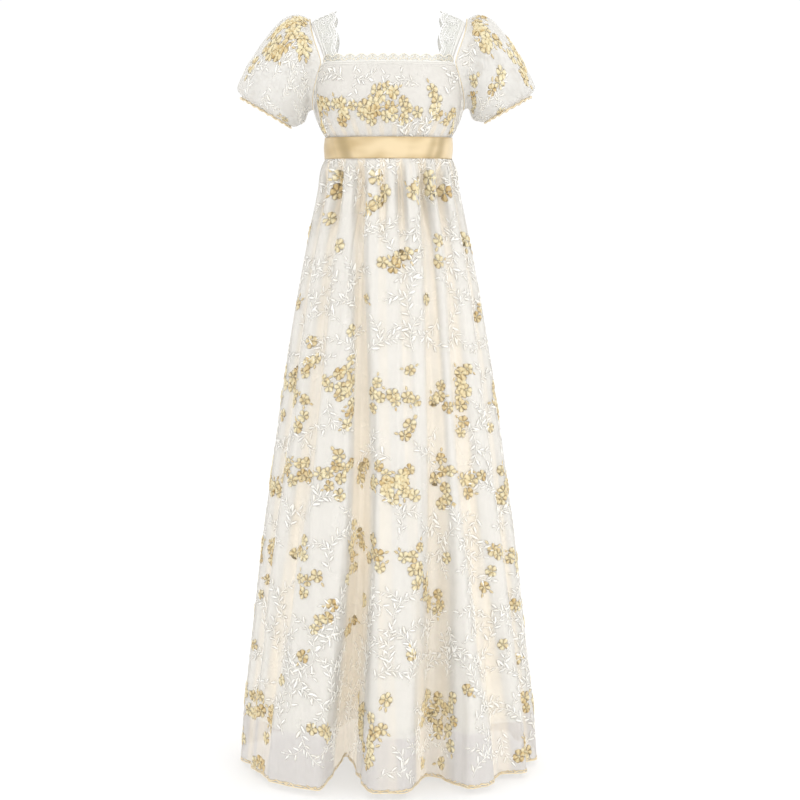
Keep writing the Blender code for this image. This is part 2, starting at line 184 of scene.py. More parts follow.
def meshPiece(name, parts, material):
    sizes = [len(part["corners"]) for part in parts]
    starts = np.cumsum([0] + sizes)
    corners = np.concatenate([part["corners"] for part in parts])
    faces = []
    for part, start in zip(parts, starts.tolist()):
        faces += [[index + start for index in face] for face in part["faces"]]
    volume = 0.0
    for size in {len(face) for face in faces}:
        group = np.array([face for face in faces if len(face) == size])
        for index in range(1, size - 1):
            a, b, c = corners[group[:, 0]], corners[group[:, index]], corners[group[:, index + 1]]
            volume += np.einsum("ij,ij->", a, np.cross(b, c))
    if volume < 0:
        faces = [face[::-1] for face in faces]
    mesh = bpy.data.meshes.new(name)
    mesh.from_pydata(corners.tolist(), [], faces)
    mesh.shade_smooth()
    order = np.zeros(len(mesh.loops), int)
    mesh.loops.foreach_get("vertex_index", order)
    layer = mesh.uv_layers.new(name="clothMap")
    flat = np.concatenate([part["map"] for part in parts])
    layer.data.foreach_set("uv", flat[order].astype(np.float32).ravel())
    for label in ("tone", "fold", "edge"):
        values = np.concatenate([part.get(label, np.zeros(size)) for part, size in zip(parts, sizes)])
        attribute = mesh.attributes.new(label, "FLOAT", "POINT")
        attribute.data.foreach_set("value", values.astype(np.float32))
    piece = bpy.data.objects.new(name, mesh)
    bpy.context.scene.collection.objects.link(piece)
    mesh.materials.append(materials[material])
    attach(piece, "root")
    mesh.calc_loop_triangles()
    triangles[name] = len(mesh.loop_triangles)
    return piece


def clothPiece(name, parts, material, node):
    meshPiece(name, parts, material)
    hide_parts(node)


def shellPart(cloth, thickness):
    outer = cloth["points"]
    inner = outer - cloth["normals"] * thickness
    wrap = cloth["wrap"]
    rowCount, columnCount = outer.shape[:2]
    used = columnCount - 1 if wrap else columnCount
    corners = np.concatenate((outer[:, :used].reshape(-1, 3), inner[:, :used].reshape(-1, 3)))
    half = rowCount * used
    index = np.arange(half).reshape(rowCount, used)
    after = np.roll(index, -1, axis=1) if wrap else index[:, 1:]
    before = index if wrap else index[:, :-1]
    quads = [
        np.stack((before[:-1], before[1:], after[1:], after[:-1]), -1).reshape(-1, 4),
        np.stack((before[:-1], after[:-1], after[1:], before[1:]), -1).reshape(-1, 4) + half,
        np.stack((before[0], after[0], after[0] + half, before[0] + half), -1),
        np.stack((before[-1], before[-1] + half, after[-1] + half, after[-1]), -1),
    ]
    if not wrap:
        first, last = index[:, 0], index[:, -1]
        quads.append(np.stack((first[:-1], first[:-1] + half, first[1:] + half, first[1:]), -1))
        quads.append(np.stack((last[:-1], last[1:], last[1:] + half, last[:-1] + half), -1))
    share = np.linspace(0, 1, columnCount)[None, :used] - 0.5
    flat = np.stack((share * cloth["lengths"][:, None],
                     np.repeat(-cloth["down"][:, None], used, axis=1)), -1).reshape(-1, 2)
    return {
        "corners": corners,
        "faces": np.concatenate(quads).tolist(),
        "map": np.concatenate((flat, flat)),
        "fold": np.concatenate([cloth["fold"][:, :used].ravel()] * 2),
    }


def roundCords(points, normals, radius, sides=5, closed=False, tone=0.0, fold=None):
    points = np.asarray(points, float)
    many, count = points.shape[:2]
    along = np.gradient(points, axis=1)
    if closed:
        along[:, 0] = points[:, 1] - points[:, -1]
        along[:, -1] = points[:, 0] - points[:, -2]
    along = along / np.maximum(np.linalg.norm(along, axis=2, keepdims=True), 1e-12)
    side = np.cross(along, normals)
    side = side / np.maximum(np.linalg.norm(side, axis=2, keepdims=True), 1e-12)
    up = np.cross(side, along)
    turn = np.arange(sides) * 2 * math.pi / sides
    radius = np.broadcast_to(np.asarray(radius, float), (many, count))[..., None, None]
    ring = (points[:, :, None] + radius * (np.cos(turn)[None, None, :, None] * side[:, :, None]
                                           + np.sin(turn)[None, None, :, None] * up[:, :, None]))
    index = np.arange(many * count * sides).reshape(many, count, sides)
    around = np.roll(index, -1, axis=2)
    nextIndex = np.roll(index, -1, axis=1)
    nextAround = np.roll(around, -1, axis=1)
    stop = count if closed else count - 1
    quads = np.stack((index[:, :stop], around[:, :stop], nextAround[:, :stop], nextIndex[:, :stop]), -1)
    faces = quads.reshape(-1, 4).tolist()
    if not closed:
        faces += index[:, 0, ::-1].tolist() + index[:, -1].tolist()
    run = np.cumsum(np.linalg.norm(np.diff(points, axis=1, prepend=points[:, :1]), axis=2), axis=1)
    flat = np.stack((np.repeat(run[:, :, None], sides, axis=2),
                     np.broadcast_to(turn / 2 / math.pi * 0.003, (many, count, sides))), -1)
    size = many * count * sides
    tones = np.broadcast_to(np.asarray(tone, float).reshape(-1, 1, 1), (many, count, sides))
    folds = np.zeros((many, count)) if fold is None else fold
    return {
        "corners": ring.reshape(-1, 3),
        "faces": faces,
        "map": flat.reshape(-1, 2),
        "tone": tones.reshape(size),
        "fold": np.repeat(folds[:, :, None], sides, axis=2).reshape(size),
        "edge": np.full(size, 0.25),
    }


# A stitched shape: stations along it, half widths and heights there, as shares of its size
stitchShapes = {
    "leaf": ((0, 0.16, 0.42, 0.70, 0.90, 1), (0, 0.58, 1.00, 0.84, 0.42, 0), (0, 0.7, 1.0, 0.9, 0.6, 0)),
    "petal": ((0, 0.20, 0.52, 0.80, 0.96, 1), (0, 0.46, 0.92, 1.00, 0.62, 0), (0.2, 0.7, 1.0, 1.0, 0.6, 0)),
    "knot": ((0, 0.15, 0.38, 0.62, 0.85, 1), (0, 0.68, 0.98, 0.98, 0.68, 0), (0, 0.7, 1.0, 1.0, 0.7, 0)),
}


def stitchedShapes(cloth, shape, items, lift=0.0):
    stations, widths, heights = (np.array(row) for row in stitchShapes[shape])
    middle = len(stations) - 2
    along = [stations[0]]
    across = [0.0]
    tall = [heights[0]]
    rim = [1.0]
    for index in range(1, middle + 1):
        along += [stations[index]] * 3
        across += [-widths[index], 0.0, widths[index]]
        tall += [0.0, heights[index], 0.0]
        rim += [1.0, 0.0, 1.0]
    along.append(stations[-1])
    across.append(0.0)
    tall.append(heights[-1])
    rim.append(1.0)
    faces = [(0, 1, 2), (0, 2, 3), (0, 3, 1)]
    for index in range(middle - 1):
        a = 1 + 3 * index
        faces += [(a, a + 3, a + 4, a + 1), (a + 1, a + 4, a + 5, a + 2), (a + 2, a + 5, a + 3, a)]
    a = 1 + 3 * (middle - 1)
    tip = a + 3
    faces += [(a, tip, a + 1), (a + 1, tip, a + 2), (a + 2, tip, a)]
    along, across, tall, rim = (np.array(values) for values in (along, across, tall, rim))
    share, down, turn, start, length, width, height, tone = np.array(items, float).T
    localAlong = start[:, None] + along[None] * length[:, None]
    localAcross = across[None] * width[:, None]
    sideways = np.cos(turn)[:, None] * localAlong - np.sin(turn)[:, None] * localAcross
    falling = np.sin(turn)[:, None] * localAlong + np.cos(turn)[:, None] * localAcross
    placeDown = down[:, None] + falling
    placeShare = share[:, None] + sideways / lengthAt(cloth, placeDown)
    point, _, fold = onCloth(cloth, placeShare, placeDown, tall[None] * height[:, None] + lift)
    keep = whollyOn(cloth, placeShare, placeDown, 0.0008)
    share, tone, fold, point = share[keep], tone[keep], fold[keep], point[keep]
    localAlong, localAcross = localAlong[keep], localAcross[keep]
    count = len(along)
    index = np.arange(len(share))[:, None, None] * count
    faceLists = []
    for size in (3, 4):
        group = np.array([face for face in faces if len(face) == size])
        faceLists += (group[None] + index).reshape(-1, size).tolist()
    return {
        "corners": point.reshape(-1, 3),
        "faces": faceLists,
        "map": np.stack((localAlong, localAcross), -1).reshape(-1, 2),
        "tone": np.repeat(tone, count),
        "fold": fold.ravel(),
        "edge": np.tile(rim, len(share)),
    }


# Materials
def put(tree, kind, inputs=None, **settings):
    made = tree.nodes.new(kind)
    for name, value in settings.items():
        setattr(made, name, value)
    for key, value in (inputs or {}).items():
        if isinstance(value, bpy.types.NodeSocket):
            tree.links.new(value, made.inputs[key])
        else:
            made.inputs[key].default_value = value
    return made


def reckon(tree, operation, first, second, clamp=False):
    return put(tree, "ShaderNodeMath", {0: first, 1: second}, operation=operation, use_clamp=clamp).outputs[0]


def ranged(tree, value, source=(0.0, 1.0), target=(0.0, 1.0), smooth=False):
    sockets = {"Value": value, "From Min": source[0], "From Max": source[1],
               "To Min": target[0], "To Max": target[1]}
    kind = "SMOOTHSTEP" if smooth else "LINEAR"
    return put(tree, "ShaderNodeMapRange", sockets, interpolation_type=kind).outputs["Result"]


def blend(tree, share, first, second):
    return put(tree, "ShaderNodeMix", {"Factor": share, 6: first, 7: second}, data_type="RGBA").outputs[2]


def noise(tree, vector, stretch, scale, detail):
    if stretch:
        vector = put(tree, "ShaderNodeVectorMath", {0: vector, 1: stretch}, operation="MULTIPLY").outputs[0]
    made = put(tree, "ShaderNodeTexNoise", {"Vector": vector, "Scale": scale, "Detail": detail})
    return made.outputs["Fac"]


def effectGroup(name, inputs, outputs):
    group = bpy.data.node_groups.new(name, "ShaderNodeTree")
    kinds = {"value": "NodeSocketFloat", "colour": "NodeSocketColor", "vector": "NodeSocketVector"}
    for way, sockets in (("INPUT", inputs), ("OUTPUT", outputs)):
        for label, kind in sockets.items():
            group.interface.new_socket(name=label, in_out=way, socket_type=kinds[kind])
    return group, group.nodes.new("NodeGroupInput").outputs, group.nodes.new("NodeGroupOutput").inputs


# What the four effects share, as ranges and scales on a cloth map in metres
effect = {
    "netSlant": 0.62,
    "netThread": (0.10, 0.38),
    "netMist": (26.0, 0.10),  # scale, and how much it thins or thickens
    # ranges of the fold value: where its painted shade starts and is full, then where its painted glow starts
    # and is full
    "foldPaintedShade": (0.15, 0.95),
    "foldPaintedGlow": (0.38, 1.0),
    "slub": (14.0, 90.0, 1.0),
    "strandSlant": 1.1,
    "strandRim": ((0.55, 1.0), (0.0, 0.60)),
    "strandGroove": ((0.0, 0.5), (0.20, 0.0)),
}


def netGroup():
    group, into, out = effectGroup("netMesh", {"Map": "vector", "Cell": "value",
                                               "Thin": "value", "Thick": "value"},
                                   {"Alpha": "value", "Height": "value"})
    parts = put(group, "ShaderNodeSeparateXYZ", {0: into["Map"]}).outputs
    slant = reckon(group, "MULTIPLY", parts["Y"], effect["netSlant"])
    threads = []
    for operation in ("ADD", "SUBTRACT"):
        wave = reckon(group, "PINGPONG", reckon(group, operation, parts["X"], slant), into["Cell"])
        share = reckon(group, "DIVIDE", wave, into["Cell"])
        threads.append(ranged(group, share, effect["netThread"], (1.0, 0.0), smooth=True))
    both = reckon(group, "MAXIMUM", threads[0], threads[1])
    scale, change = effect["netMist"]
    mist = ranged(group, noise(group, into["Map"], None, scale, 2.0), target=(-change, change))
    alpha = ranged(group, both, target=(into["Thin"], into["Thick"]))
    group.links.new(reckon(group, "ADD", alpha, mist, clamp=True), out["Alpha"])
    group.links.new(both, out["Height"])
    return group


def foldGroup():
    group, into, out = effectGroup("foldPaintedShade", {"Colour": "colour", "ValleyShade": "colour", "Fold": "value",
                                                "Amount": "value"}, {"Colour": "colour", "PaintedGlow": "colour"})
    # Painted shade: the colour moves towards the valley colour as the fold deepens
    depth = ranged(group, into["Fold"], effect["foldPaintedShade"], smooth=True)
    amount = reckon(group, "MULTIPLY", depth, into["Amount"])
    group.links.new(blend(group, amount, into["Colour"], into["ValleyShade"]), out["Colour"])
    # Painted glow: an emission of the valley colour, rising in the deepest folds
    deep = ranged(group, into["Fold"], effect["foldPaintedGlow"])
    group.links.new(blend(group, deep, (0.0, 0.0, 0.0, 1.0), into["ValleyShade"]), out["PaintedGlow"])
    return group


def weaveGroup():
    group, into, out = effectGroup("clothWeave", {"Map": "vector", "Pitch": "value", "Uneven": "value"},
                                   {"Height": "value", "Shade": "value"})
    parts = put(group, "ShaderNodeSeparateXYZ", {0: into["Map"]}).outputs
    waves = []
    for label in ("X", "Y"):
        turn = reckon(group, "PINGPONG", parts[label], into["Pitch"])
        waves.append(reckon(group, "DIVIDE", turn, into["Pitch"]))
    crossing = reckon(group, "ADD", waves[0], waves[1])
    slub = noise(group, into["Map"], effect["slub"], 1.0, 3.0)
    uneven = reckon(group, "MULTIPLY", slub, into["Uneven"])
    group.links.new(reckon(group, "ADD", crossing, uneven), out["Height"])
    group.links.new(slub, out["Shade"])
    return group


def strandGroup():
    group, into, out = effectGroup("silkStrands", {"Map": "vector", "Pitch": "value", "Edge": "value",
                                                   "Light": "colour", "Dark": "colour", "Tone": "value"},
                                   {"Colour": "colour", "Height": "value"})
    parts = put(group, "ShaderNodeSeparateXYZ", {0: into["Map"]}).outputs
    line = reckon(group, "ADD", parts["X"], reckon(group, "MULTIPLY", parts["Y"], effect["strandSlant"]))
    strand = reckon(group, "DIVIDE", reckon(group, "PINGPONG", line, into["Pitch"]), into["Pitch"])
    # Each stitch darkens towards its rim, partly an outline of darker thread and partly painted shade where it
    # meets the cloth, and in the grooves between strands, painted shade between the threads
    rim = ranged(group, into["Edge"], *effect["strandRim"], smooth=True)
    groove = ranged(group, strand, *effect["strandGroove"])
    dark = reckon(group, "ADD", reckon(group, "ADD", rim, groove), into["Tone"], clamp=True)
    group.links.new(blend(group, dark, into["Light"], into["Dark"]), out["Colour"])
    group.links.new(strand, out["Height"])
    return group


groups = {"net": netGroup(), "fold": foldGroup(), "weave": weaveGroup(), "strand": strandGroup()}


def startMaterial(name, constants):
    material = bpy.data.materials.new(name)
    material.use_nodes = True
    tree = material.node_tree
    shader = tree.nodes["Principled BSDF"]
    for socket, value in constants.items():
        shader.inputs[socket].default_value = value
    return material, tree, shader, put(tree, "ShaderNodeTexCoord").outputs


def valueAt(tree, label):
    return put(tree, "ShaderNodeAttribute", attribute_name=label).outputs["Fac"]


def paintShadeByFold(tree, shader, colour, look):
    # Painted shade: deep folds get a warmer, darker colour; a painted glow (emission) keeps the deepest
    # bright, as where light bounces between thin layers
    shadeTint = put(tree, "ShaderNodeGroup", node_tree=groups["fold"])
    tree.links.new(colour, shadeTint.inputs["Colour"])
    tree.links.new(valueAt(tree, "fold"), shadeTint.inputs["Fold"])
    shadeTint.inputs["ValleyShade"].default_value = look["valleyShade"]
    shadeTint.inputs["Amount"].default_value = look["shadeTint"]
    tree.links.new(shadeTint.outputs["Colour"], shader.inputs["Base Color"])
    if "paintedGlow" in look:
        tree.links.new(shadeTint.outputs["PaintedGlow"], shader.inputs["Emission Color"])
        shader.inputs["Emission Strength"].default_value = look["paintedGlow"]


def thinCloth(tree, shader, alpha, letThrough):
    # Light that bounces goes partly through the thin cloth, so the folds stay bright as in a real gown
    path = put(tree, "ShaderNodeLightPath")
    share = ranged(tree, path.outputs["Is Camera Ray"], target=(1.0 - letThrough, 1.0))
    tree.links.new(reckon(tree, "MULTIPLY", share, alpha), shader.inputs["Alpha"])


def joinBump(tree, shader, height, distance):
    bump = put(tree, "ShaderNodeBump", {"Height": height, "Strength": 1.0, "Distance": distance})
    tree.links.new(bump.outputs["Normal"], shader.inputs["Normal"])


# Net: size of a cell, alpha in its gaps and on its threads, painted shade and painted glow of the folds, light
# let through; its colour, the painted shade colour of its valleys, and a darker painted-shade colour below the
# lining's hem
netLooks = {
    "ivoryNet": {"cell": 0.0009, "thin": 0.32, "thick": 0.70, "shadeTint": 0.8, "letThrough": 0.80, "paintedGlow": 0.28,
                 "colour": (0.845, 0.815, 0.757, 1), "valleyShade": (0.86, 0.77, 0.63, 1),
                 "unlinedShade": (0.735, 0.70, 0.67, 1)},
    "bodiceNet": {"cell": 0.0009, "thin": 0.32, "thick": 0.70, "shadeTint": 0.8, "letThrough": 0.80, "paintedGlow": 0.10,
                  "colour": (0.79, 0.76, 0.71, 1), "valleyShade": (0.82, 0.72, 0.57, 1)},
    "ivoryNetBack": {"cell": 0.0009, "thin": 0.46, "thick": 0.78, "shadeTint": 0.8, "letThrough": 0.8, "paintedGlow": 0.16,
                     "colour": (0.80, 0.765, 0.715, 1), "valleyShade": (0.90, 0.79, 0.655, 1),
                     "unlinedShade": (0.76, 0.725, 0.69, 1)},
    "sleeveNet": {"cell": 0.0009, "thin": 0.38, "thick": 0.66, "shadeTint": 0.5, "letThrough": 0.6, "paintedGlow": 0.03,
                  "colour": (0.88, 0.86, 0.815, 1), "valleyShade": (0.86, 0.77, 0.64, 1)},
    "laceGround": {"cell": 0.0008, "thin": 0.20, "thick": 0.72, "shadeTint": 0.0, "letThrough": 0.6, "paintedGlow": 0.0,
                   "colour": (0.83, 0.83, 0.78, 1), "valleyShade": (0.8, 0.75, 0.66, 1)},
}
unlinedThicker = 0.14


def netMaterial(name, look):
    material, tree, shader, coordinates = startMaterial(name, {
        "Roughness": 0.62, "Sheen Weight": 0.25, "Sheen Roughness": 0.4, "Specular IOR Level": 0.25})
    net = put(tree, "ShaderNodeGroup", node_tree=groups["net"])
    tree.links.new(coordinates["UV"], net.inputs["Map"])
    net.inputs["Cell"].default_value = look["cell"]
    net.inputs["Thick"].default_value = look["thick"]
    # Below the hem of the lining nothing lies behind the net: there it is painted a little darker and pinker
    # and made a little denser, painted shade for the shaded inside of the skirt that shows through it
    place = put(tree, "ShaderNodeSeparateXYZ", {0: coordinates["Object"]})
    unlinedShade = ranged(tree, place.outputs["Z"], (gown["liningHem"] + 0.001, gown["liningHem"] - 0.003))
    thin = ranged(tree, unlinedShade, target=(look["thin"], look["thin"] + unlinedThicker))
    tree.links.new(thin, net.inputs["Thin"])
    paintShadeByFold(tree, shader, blend(tree, unlinedShade, look["colour"], look.get("unlinedShade", look["colour"])), look)
    thinCloth(tree, shader, net.outputs["Alpha"], look["letThrough"])
    joinBump(tree, shader, net.outputs["Height"], 0.0002)
    return material


# Plain cloth: colours, roughness and the same as above
plainLooks = {
    "plainLining": {"roughness": 0.55, "specular": 0.3, "shadeTint": 0.8, "letThrough": 0.70, "paintedGlow": 0.28,
                    "colour": (0.845, 0.825, 0.775, 1), "second": (0.81, 0.79, 0.74, 1),
                    "valleyShade": (0.86, 0.775, 0.64, 1)},
    "plainBand": {"roughness": 0.5, "specular": 0.35, "shadeTint": 0.0, "letThrough": 0.5, "paintedGlow": 0.0,
                  "colour": (0.88, 0.87, 0.84, 1), "second": (0.85, 0.84, 0.81, 1),
                  "valleyShade": (0.8, 0.75, 0.66, 1)},
}
plainWeave = {"Pitch": 0.0005, "Uneven": 1.2, "bump": 0.00006}


def weaveOn(tree, coordinates, weaving):
    weave = put(tree, "ShaderNodeGroup", node_tree=groups["weave"])
    tree.links.new(coordinates["UV"], weave.inputs["Map"])
    for socket in ("Pitch", "Uneven"):
        weave.inputs[socket].default_value = weaving[socket]
    return weave.outputs


def plainMaterial(name, look):
    material, tree, shader, coordinates = startMaterial(name, {
        "Roughness": look["roughness"], "Sheen Weight": 0.15, "Sheen Roughness": 0.45,
        "Specular IOR Level": look["specular"]})
    weave = weaveOn(tree, coordinates, plainWeave)
    cloud = blend(tree, ranged(tree, weave["Shade"], (0.3, 0.7)), look["colour"], look["second"])
    paintShadeByFold(tree, shader, cloud, look)
    thinCloth(tree, shader, 1.0, look["letThrough"])
    joinBump(tree, shader, weave["Height"], plainWeave["bump"])
    return material


# Silk: the threads of the embroidery, the lace and the hems
silkLooks = {
    "goldSilk": {"roughness": 0.34, "bump": 0.00015, "shadeTint": 0.3, "paintedGlow": 0.12, "light": (0.9, 0.80, 0.53, 1),
                 "dark": (0.60, 0.39, 0.12, 1), "valleyShade": (0.86, 0.67, 0.36, 1)},
    "creamSilk": {"roughness": 0.26, "bump": 0.0001, "shadeTint": 0.3, "paintedGlow": 0.16, "light": (1, 0.985, 0.94, 1),
                  "dark": (0.76, 0.66, 0.46, 1), "valleyShade": (0.94, 0.86, 0.74, 1)},
    "laceCord": {"roughness": 0.35, "bump": 0.0001, "shadeTint": 0.0, "paintedGlow": 0.0, "light": (1.0, 0.99, 0.97, 1),
                 "dark": (0.86, 0.83, 0.74, 1), "valleyShade": (0.8, 0.7, 0.55, 1)},
    "neckCord": {"roughness": 0.4, "bump": 0.0001, "shadeTint": 0.0, "paintedGlow": 0.0, "light": (0.96, 0.90, 0.76, 1),
                 "dark": (0.62, 0.51, 0.33, 1), "valleyShade": (0.8, 0.7, 0.55, 1)},
    "hemThread": {"roughness": 0.45, "bump": 0.00015, "shadeTint": 0.3, "paintedGlow": 0.0,
                  "light": (0.93, 0.79, 0.54, 1), "dark": (0.62, 0.46, 0.22, 1),
                  "valleyShade": (0.6, 0.44, 0.24, 1)},
}
strandPitch = 0.0005


def silkMaterial(name, look):
    material, tree, shader, coordinates = startMaterial(name, {
        "Roughness": look["roughness"], "Sheen Weight": 0.3, "Sheen Roughness": 0.35,
        "Specular IOR Level": 0.5})
    strands = put(tree, "ShaderNodeGroup", node_tree=groups["strand"])
    tree.links.new(coordinates["UV"], strands.inputs["Map"])
    strands.inputs["Pitch"].default_value = strandPitch
    strands.inputs["Light"].default_value = look["light"]
    strands.inputs["Dark"].default_value = look["dark"]
    tree.links.new(valueAt(tree, "edge"), strands.inputs["Edge"])
    tree.links.new(valueAt(tree, "tone"), strands.inputs["Tone"])
    paintShadeByFold(tree, shader, strands.outputs["Colour"], look)
    joinBump(tree, shader, strands.outputs["Height"], look["bump"])
    return material


# Satin: broad clouds of lighter and darker colour across the ribbon, painted highlights and painted shade of
# its sheen
satinLooks = {
    "goldSatin": {"light": (0.84, 0.67, 0.41, 1), "dark": (0.59, 0.43, 0.205, 1),
                  "valleyShade": (0.36, 0.26, 0.11, 1), "shadeTint": 0.8, "Pitch": 0.0004, "Uneven": 2.0,
                  "cloud": (9.0, 22.0, 1.0), "cloudHeight": 12.0, "bump": 0.00012},
}


def satinMaterial(name, look):
    material, tree, shader, coordinates = startMaterial(name, {
        "Sheen Weight": 0.2, "Specular IOR Level": 0.55, "Anisotropic": 0.5})
    weave = weaveOn(tree, coordinates, look)
    # Painted highlights and shade: a noise cloud between the dark and light satin colours
    cloud = noise(tree, coordinates["UV"], look["cloud"], 1.0, 2.0)
    share = ranged(tree, cloud, (0.35, 0.65), smooth=True)
    paintShadeByFold(tree, shader, blend(tree, share, look["dark"], look["light"]), look)
    tree.links.new(ranged(tree, weave["Shade"], target=(0.24, 0.42)), shader.inputs["Roughness"])
    height = reckon(tree, "MULTIPLY", cloud, look["cloudHeight"])
    joinBump(tree, shader, reckon(tree, "ADD", height, weave["Height"]), look["bump"])
    return material


# By the name of each material
materials = {}
for makeMaterial, looks in ((netMaterial, netLooks), (plainMaterial, plainLooks), (silkMaterial, silkLooks),
                            (satinMaterial, satinLooks)):
    for name, look in looks.items():
        materials[name] = makeMaterial(name, look)
print("materials made:", len(materials))

# Skirt: the same folds as the solids, sunk from the waist, with finer ripples that follow the gathers
skirt = {
    "turnHeights": (0.285, 0.850, 1.4443),
    "foldHeights": (0.2855, 0.290, 0.470, 0.850, 1.4443),
    "notchLift": 0.026,
    "notchDepth": 0.150,
    # painted shade, a warm darker tint, in a fold: least, depth of the fold that adds 1, most, most in the
    # notch, start and width of its edge, more near the waist, less on ripples, more in puckers
    "shade": {"least": 0.42, "fullDepth": 0.090, "most": 0.66, "notch": 1.0, "edge": (0.22, 0.50),
              "nearWaist": ((0.285, 0.30), (0.330, 0.26), (0.430, 0.0)), "ripple": 0.12, "pucker": 0.45},
    # angle at waist, middle, hem; depth in mm at four heights; half widths in degrees, left and right at the
    # waist, then at the hem
    "frontFolds": {
        "sideLeft": (-67, -66, -69, 2.5, 8, 12, 16, 7, 7, 10, 9),
        "left": (-49, -46, -57, 4.0, 13, 18, 16, 8, 8, 11, 10),
        "notch": (-28, -15, -19, 5.0, 24, 42, 150, 8, 8, 7, 14),
        "centreLeft": (-6, -2, 0, 2.0, 2, 3, 4, 6, 6, 8, 8),
        "centre": (12, 12, 13, 4.0, 5, 4, 2, 7, 7, 4, 4),
        "right": (35, 26, 17, 5.0, 18, 32, 108, 8, 8, 12, 16),
        "outerRight": (53, 43, 50, 4.0, 13, 22, 38, 8, 8, 13, 12),
        "sideRight": (72, 67, 71, 2.5, 8, 14, 24, 7, 7, 10, 9),
    },
    "backFolds": {
        "back1": (112, 113, 112, 3.0, 10, 15, 22, 9, 9, 11, 12),
        "back2": (133, 134, 134, 4.0, 15, 26, 44, 9, 9, 11, 12),
        "back3": (153, 156, 160, 5.0, 18, 34, 62, 9, 9, 13, 12),
        "back4": (176, 178, 184, 4.0, 15, 28, 48, 9, 9, 11, 11),
        "back5": (199, 201, 206, 5.0, 18, 36, 66, 9, 9, 11, 12),
        "back6": (222, 225, 228, 4.0, 15, 24, 40, 9, 9, 11, 11),
        "back7": (246, 248, 248, 3.0, 10, 15, 22, 9, 9, 11, 11),
    },
    "liningInset": ((0.285, 0.0016), (0.400, 0.0040)),
    "closeRows": (0.16, 0.075),  # share of the rows, and how far down from the waist they reach
    "meanRadius": 0.2,
    "seamFade": 0.02,
    "ripples": 23,
    "rippleDepth": ((0.285, 0.0004), (0.330, 0.0012), (0.700, 0.0018), (1.4443, 0.0030)),
    "puckers": 40,
    "puckerDepth": ((0.284, 0.0), (0.298, 0.0016), (0.330, 0.0012), (0.430, 0.0), (1.4443, 0.0)),
}


def foldShape(row, angle, z):
    centre = smoothAt(-z, skirt["turnHeights"], row[0:3])
    top = skirt["turnHeights"][0]
    drop = np.clip((-z - top) / (-gown["hem"] - top), 0, 1)
    width = np.where(angle < centre, row[7] + (row[9] - row[7]) * drop, row[8] + (row[10] - row[8]) * drop)
    share = np.minimum(1, np.abs(angle - centre) / width)
    depth = np.maximum(0, smoothAt(-z, skirt["foldHeights"], (0.0,) + row[3:7])) / 1000
    return depth, 0.5 + 0.5 * np.cos(np.pi * share)


def skirtPoint(angle, z, folds):
    z = np.full_like(angle, z)
    shade = skirt["shade"]
    x, y = bodyPoint(skirtRows, angle, z)
    push = np.zeros_like(angle)
    valleyShade = np.zeros_like(angle)
    for name, row in folds.items():
        depth, shape = foldShape(row, angle, z)
        push += depth * shape
        # Painted shade: each fold adds a warm, darker tint across its valley, more for deeper folds and near
        # the waist
        level = shade["least"] + depth / shade["fullDepth"] + between(-z, shade["nearWaist"])
        most = shade["notch" if name == "notch" else "most"]
        valleyShade += rising(shape, *shade["edge"]) * np.minimum(most, level)
    fromMiddle = np.where(np.abs(angle) <= 90, angle, angle - 180)
    lean = np.radians(fromMiddle * np.abs(fromMiddle / 90) ** 0.8)
    forward = np.where(np.abs(angle) <= 90, 1.0, -1.0)
    if "notch" in folds:
        depth, shape = foldShape(folds["notch"], angle, z)
        z = z + skirt["notchLift"] * depth * shape / skirt["notchDepth"]
    point = np.stack((x - push * np.sin(lean) * forward, y + push * np.cos(lean) * forward, z), -1)
    return point, np.minimum(valleyShade, 1)


def skirtCloth(folds, start, end, hem, rows, columns):
    top = gown["waistSeam"] - gown["seamGap"]
    closeShare, closeDrop = skirt["closeRows"]
    heights = np.interp(np.linspace(0, 1, rows + 1), (0, closeShare, 1), (top, top - closeDrop, hem))
    gap = math.degrees(gown["seamGap"] / skirt["meanRadius"])
    probe = np.linspace(start + gap, end - gap, columns * 6)
    points = np.zeros((rows + 1, columns + 1, 3))
    valleyShade = np.zeros((rows + 1, columns + 1))
    shares = np.linspace(0, 1, columns + 1)
    for index, z in enumerate(heights):
        line, _ = skirtPoint(probe, z, folds)
        run = np.concatenate(([0.0], np.cumsum(np.linalg.norm(np.diff(line[:, :2], axis=0), axis=1))))
        angles = np.interp(shares * run[-1], run, probe)
        points[index], valleyShade[index] = skirtPoint(angles, z, folds)
    drop = -heights[:, None]
    depth = between(drop, skirt["rippleDepth"])
    turn = 2 * math.pi * shares[None]
    count = skirt["ripples"]
    wave = (0.6 * np.sin(count * turn + 1.3 * np.sin(2.1 * drop + start))
            + 0.4 * np.sin(count * 1.61 * turn + 1.9 * np.sin(3.4 * drop + 1 + start)))
    wave = wave * (0.65 + 0.35 * np.sin(3.3 * turn + 5 * drop + start))
    pucker = between(drop, skirt["puckerDepth"])
    narrow = 0.5 + 0.5 * np.cos(skirt["puckers"] * turn + 0.8 * np.sin(9 * turn))
    window = np.minimum(1, np.minimum(shares, 1 - shares)[None] / skirt["seamFade"])
    normals = clothFrom(points)["normals"]
    points = points + normals * ((depth * wave + pucker * narrow) * window)[..., None]
    shade = skirt["shade"]
    deepest = max(depth for _, depth in skirt["puckerDepth"])
    # Painted shade of the folds, less on the ripples' crests and more in the puckers
    valleyShade = valleyShade - shade["ripple"] * wave + shade["pucker"] * (pucker / deepest) * (1 - narrow)
    return clothFrom(points, np.clip(valleyShade, 0, 1))


def insideCloth(cloth):
    inset = between(-cloth["points"][..., 2:3], skirt["liningInset"])
    return clothFrom(cloth["points"] - cloth["normals"] * inset, cloth["fold"])


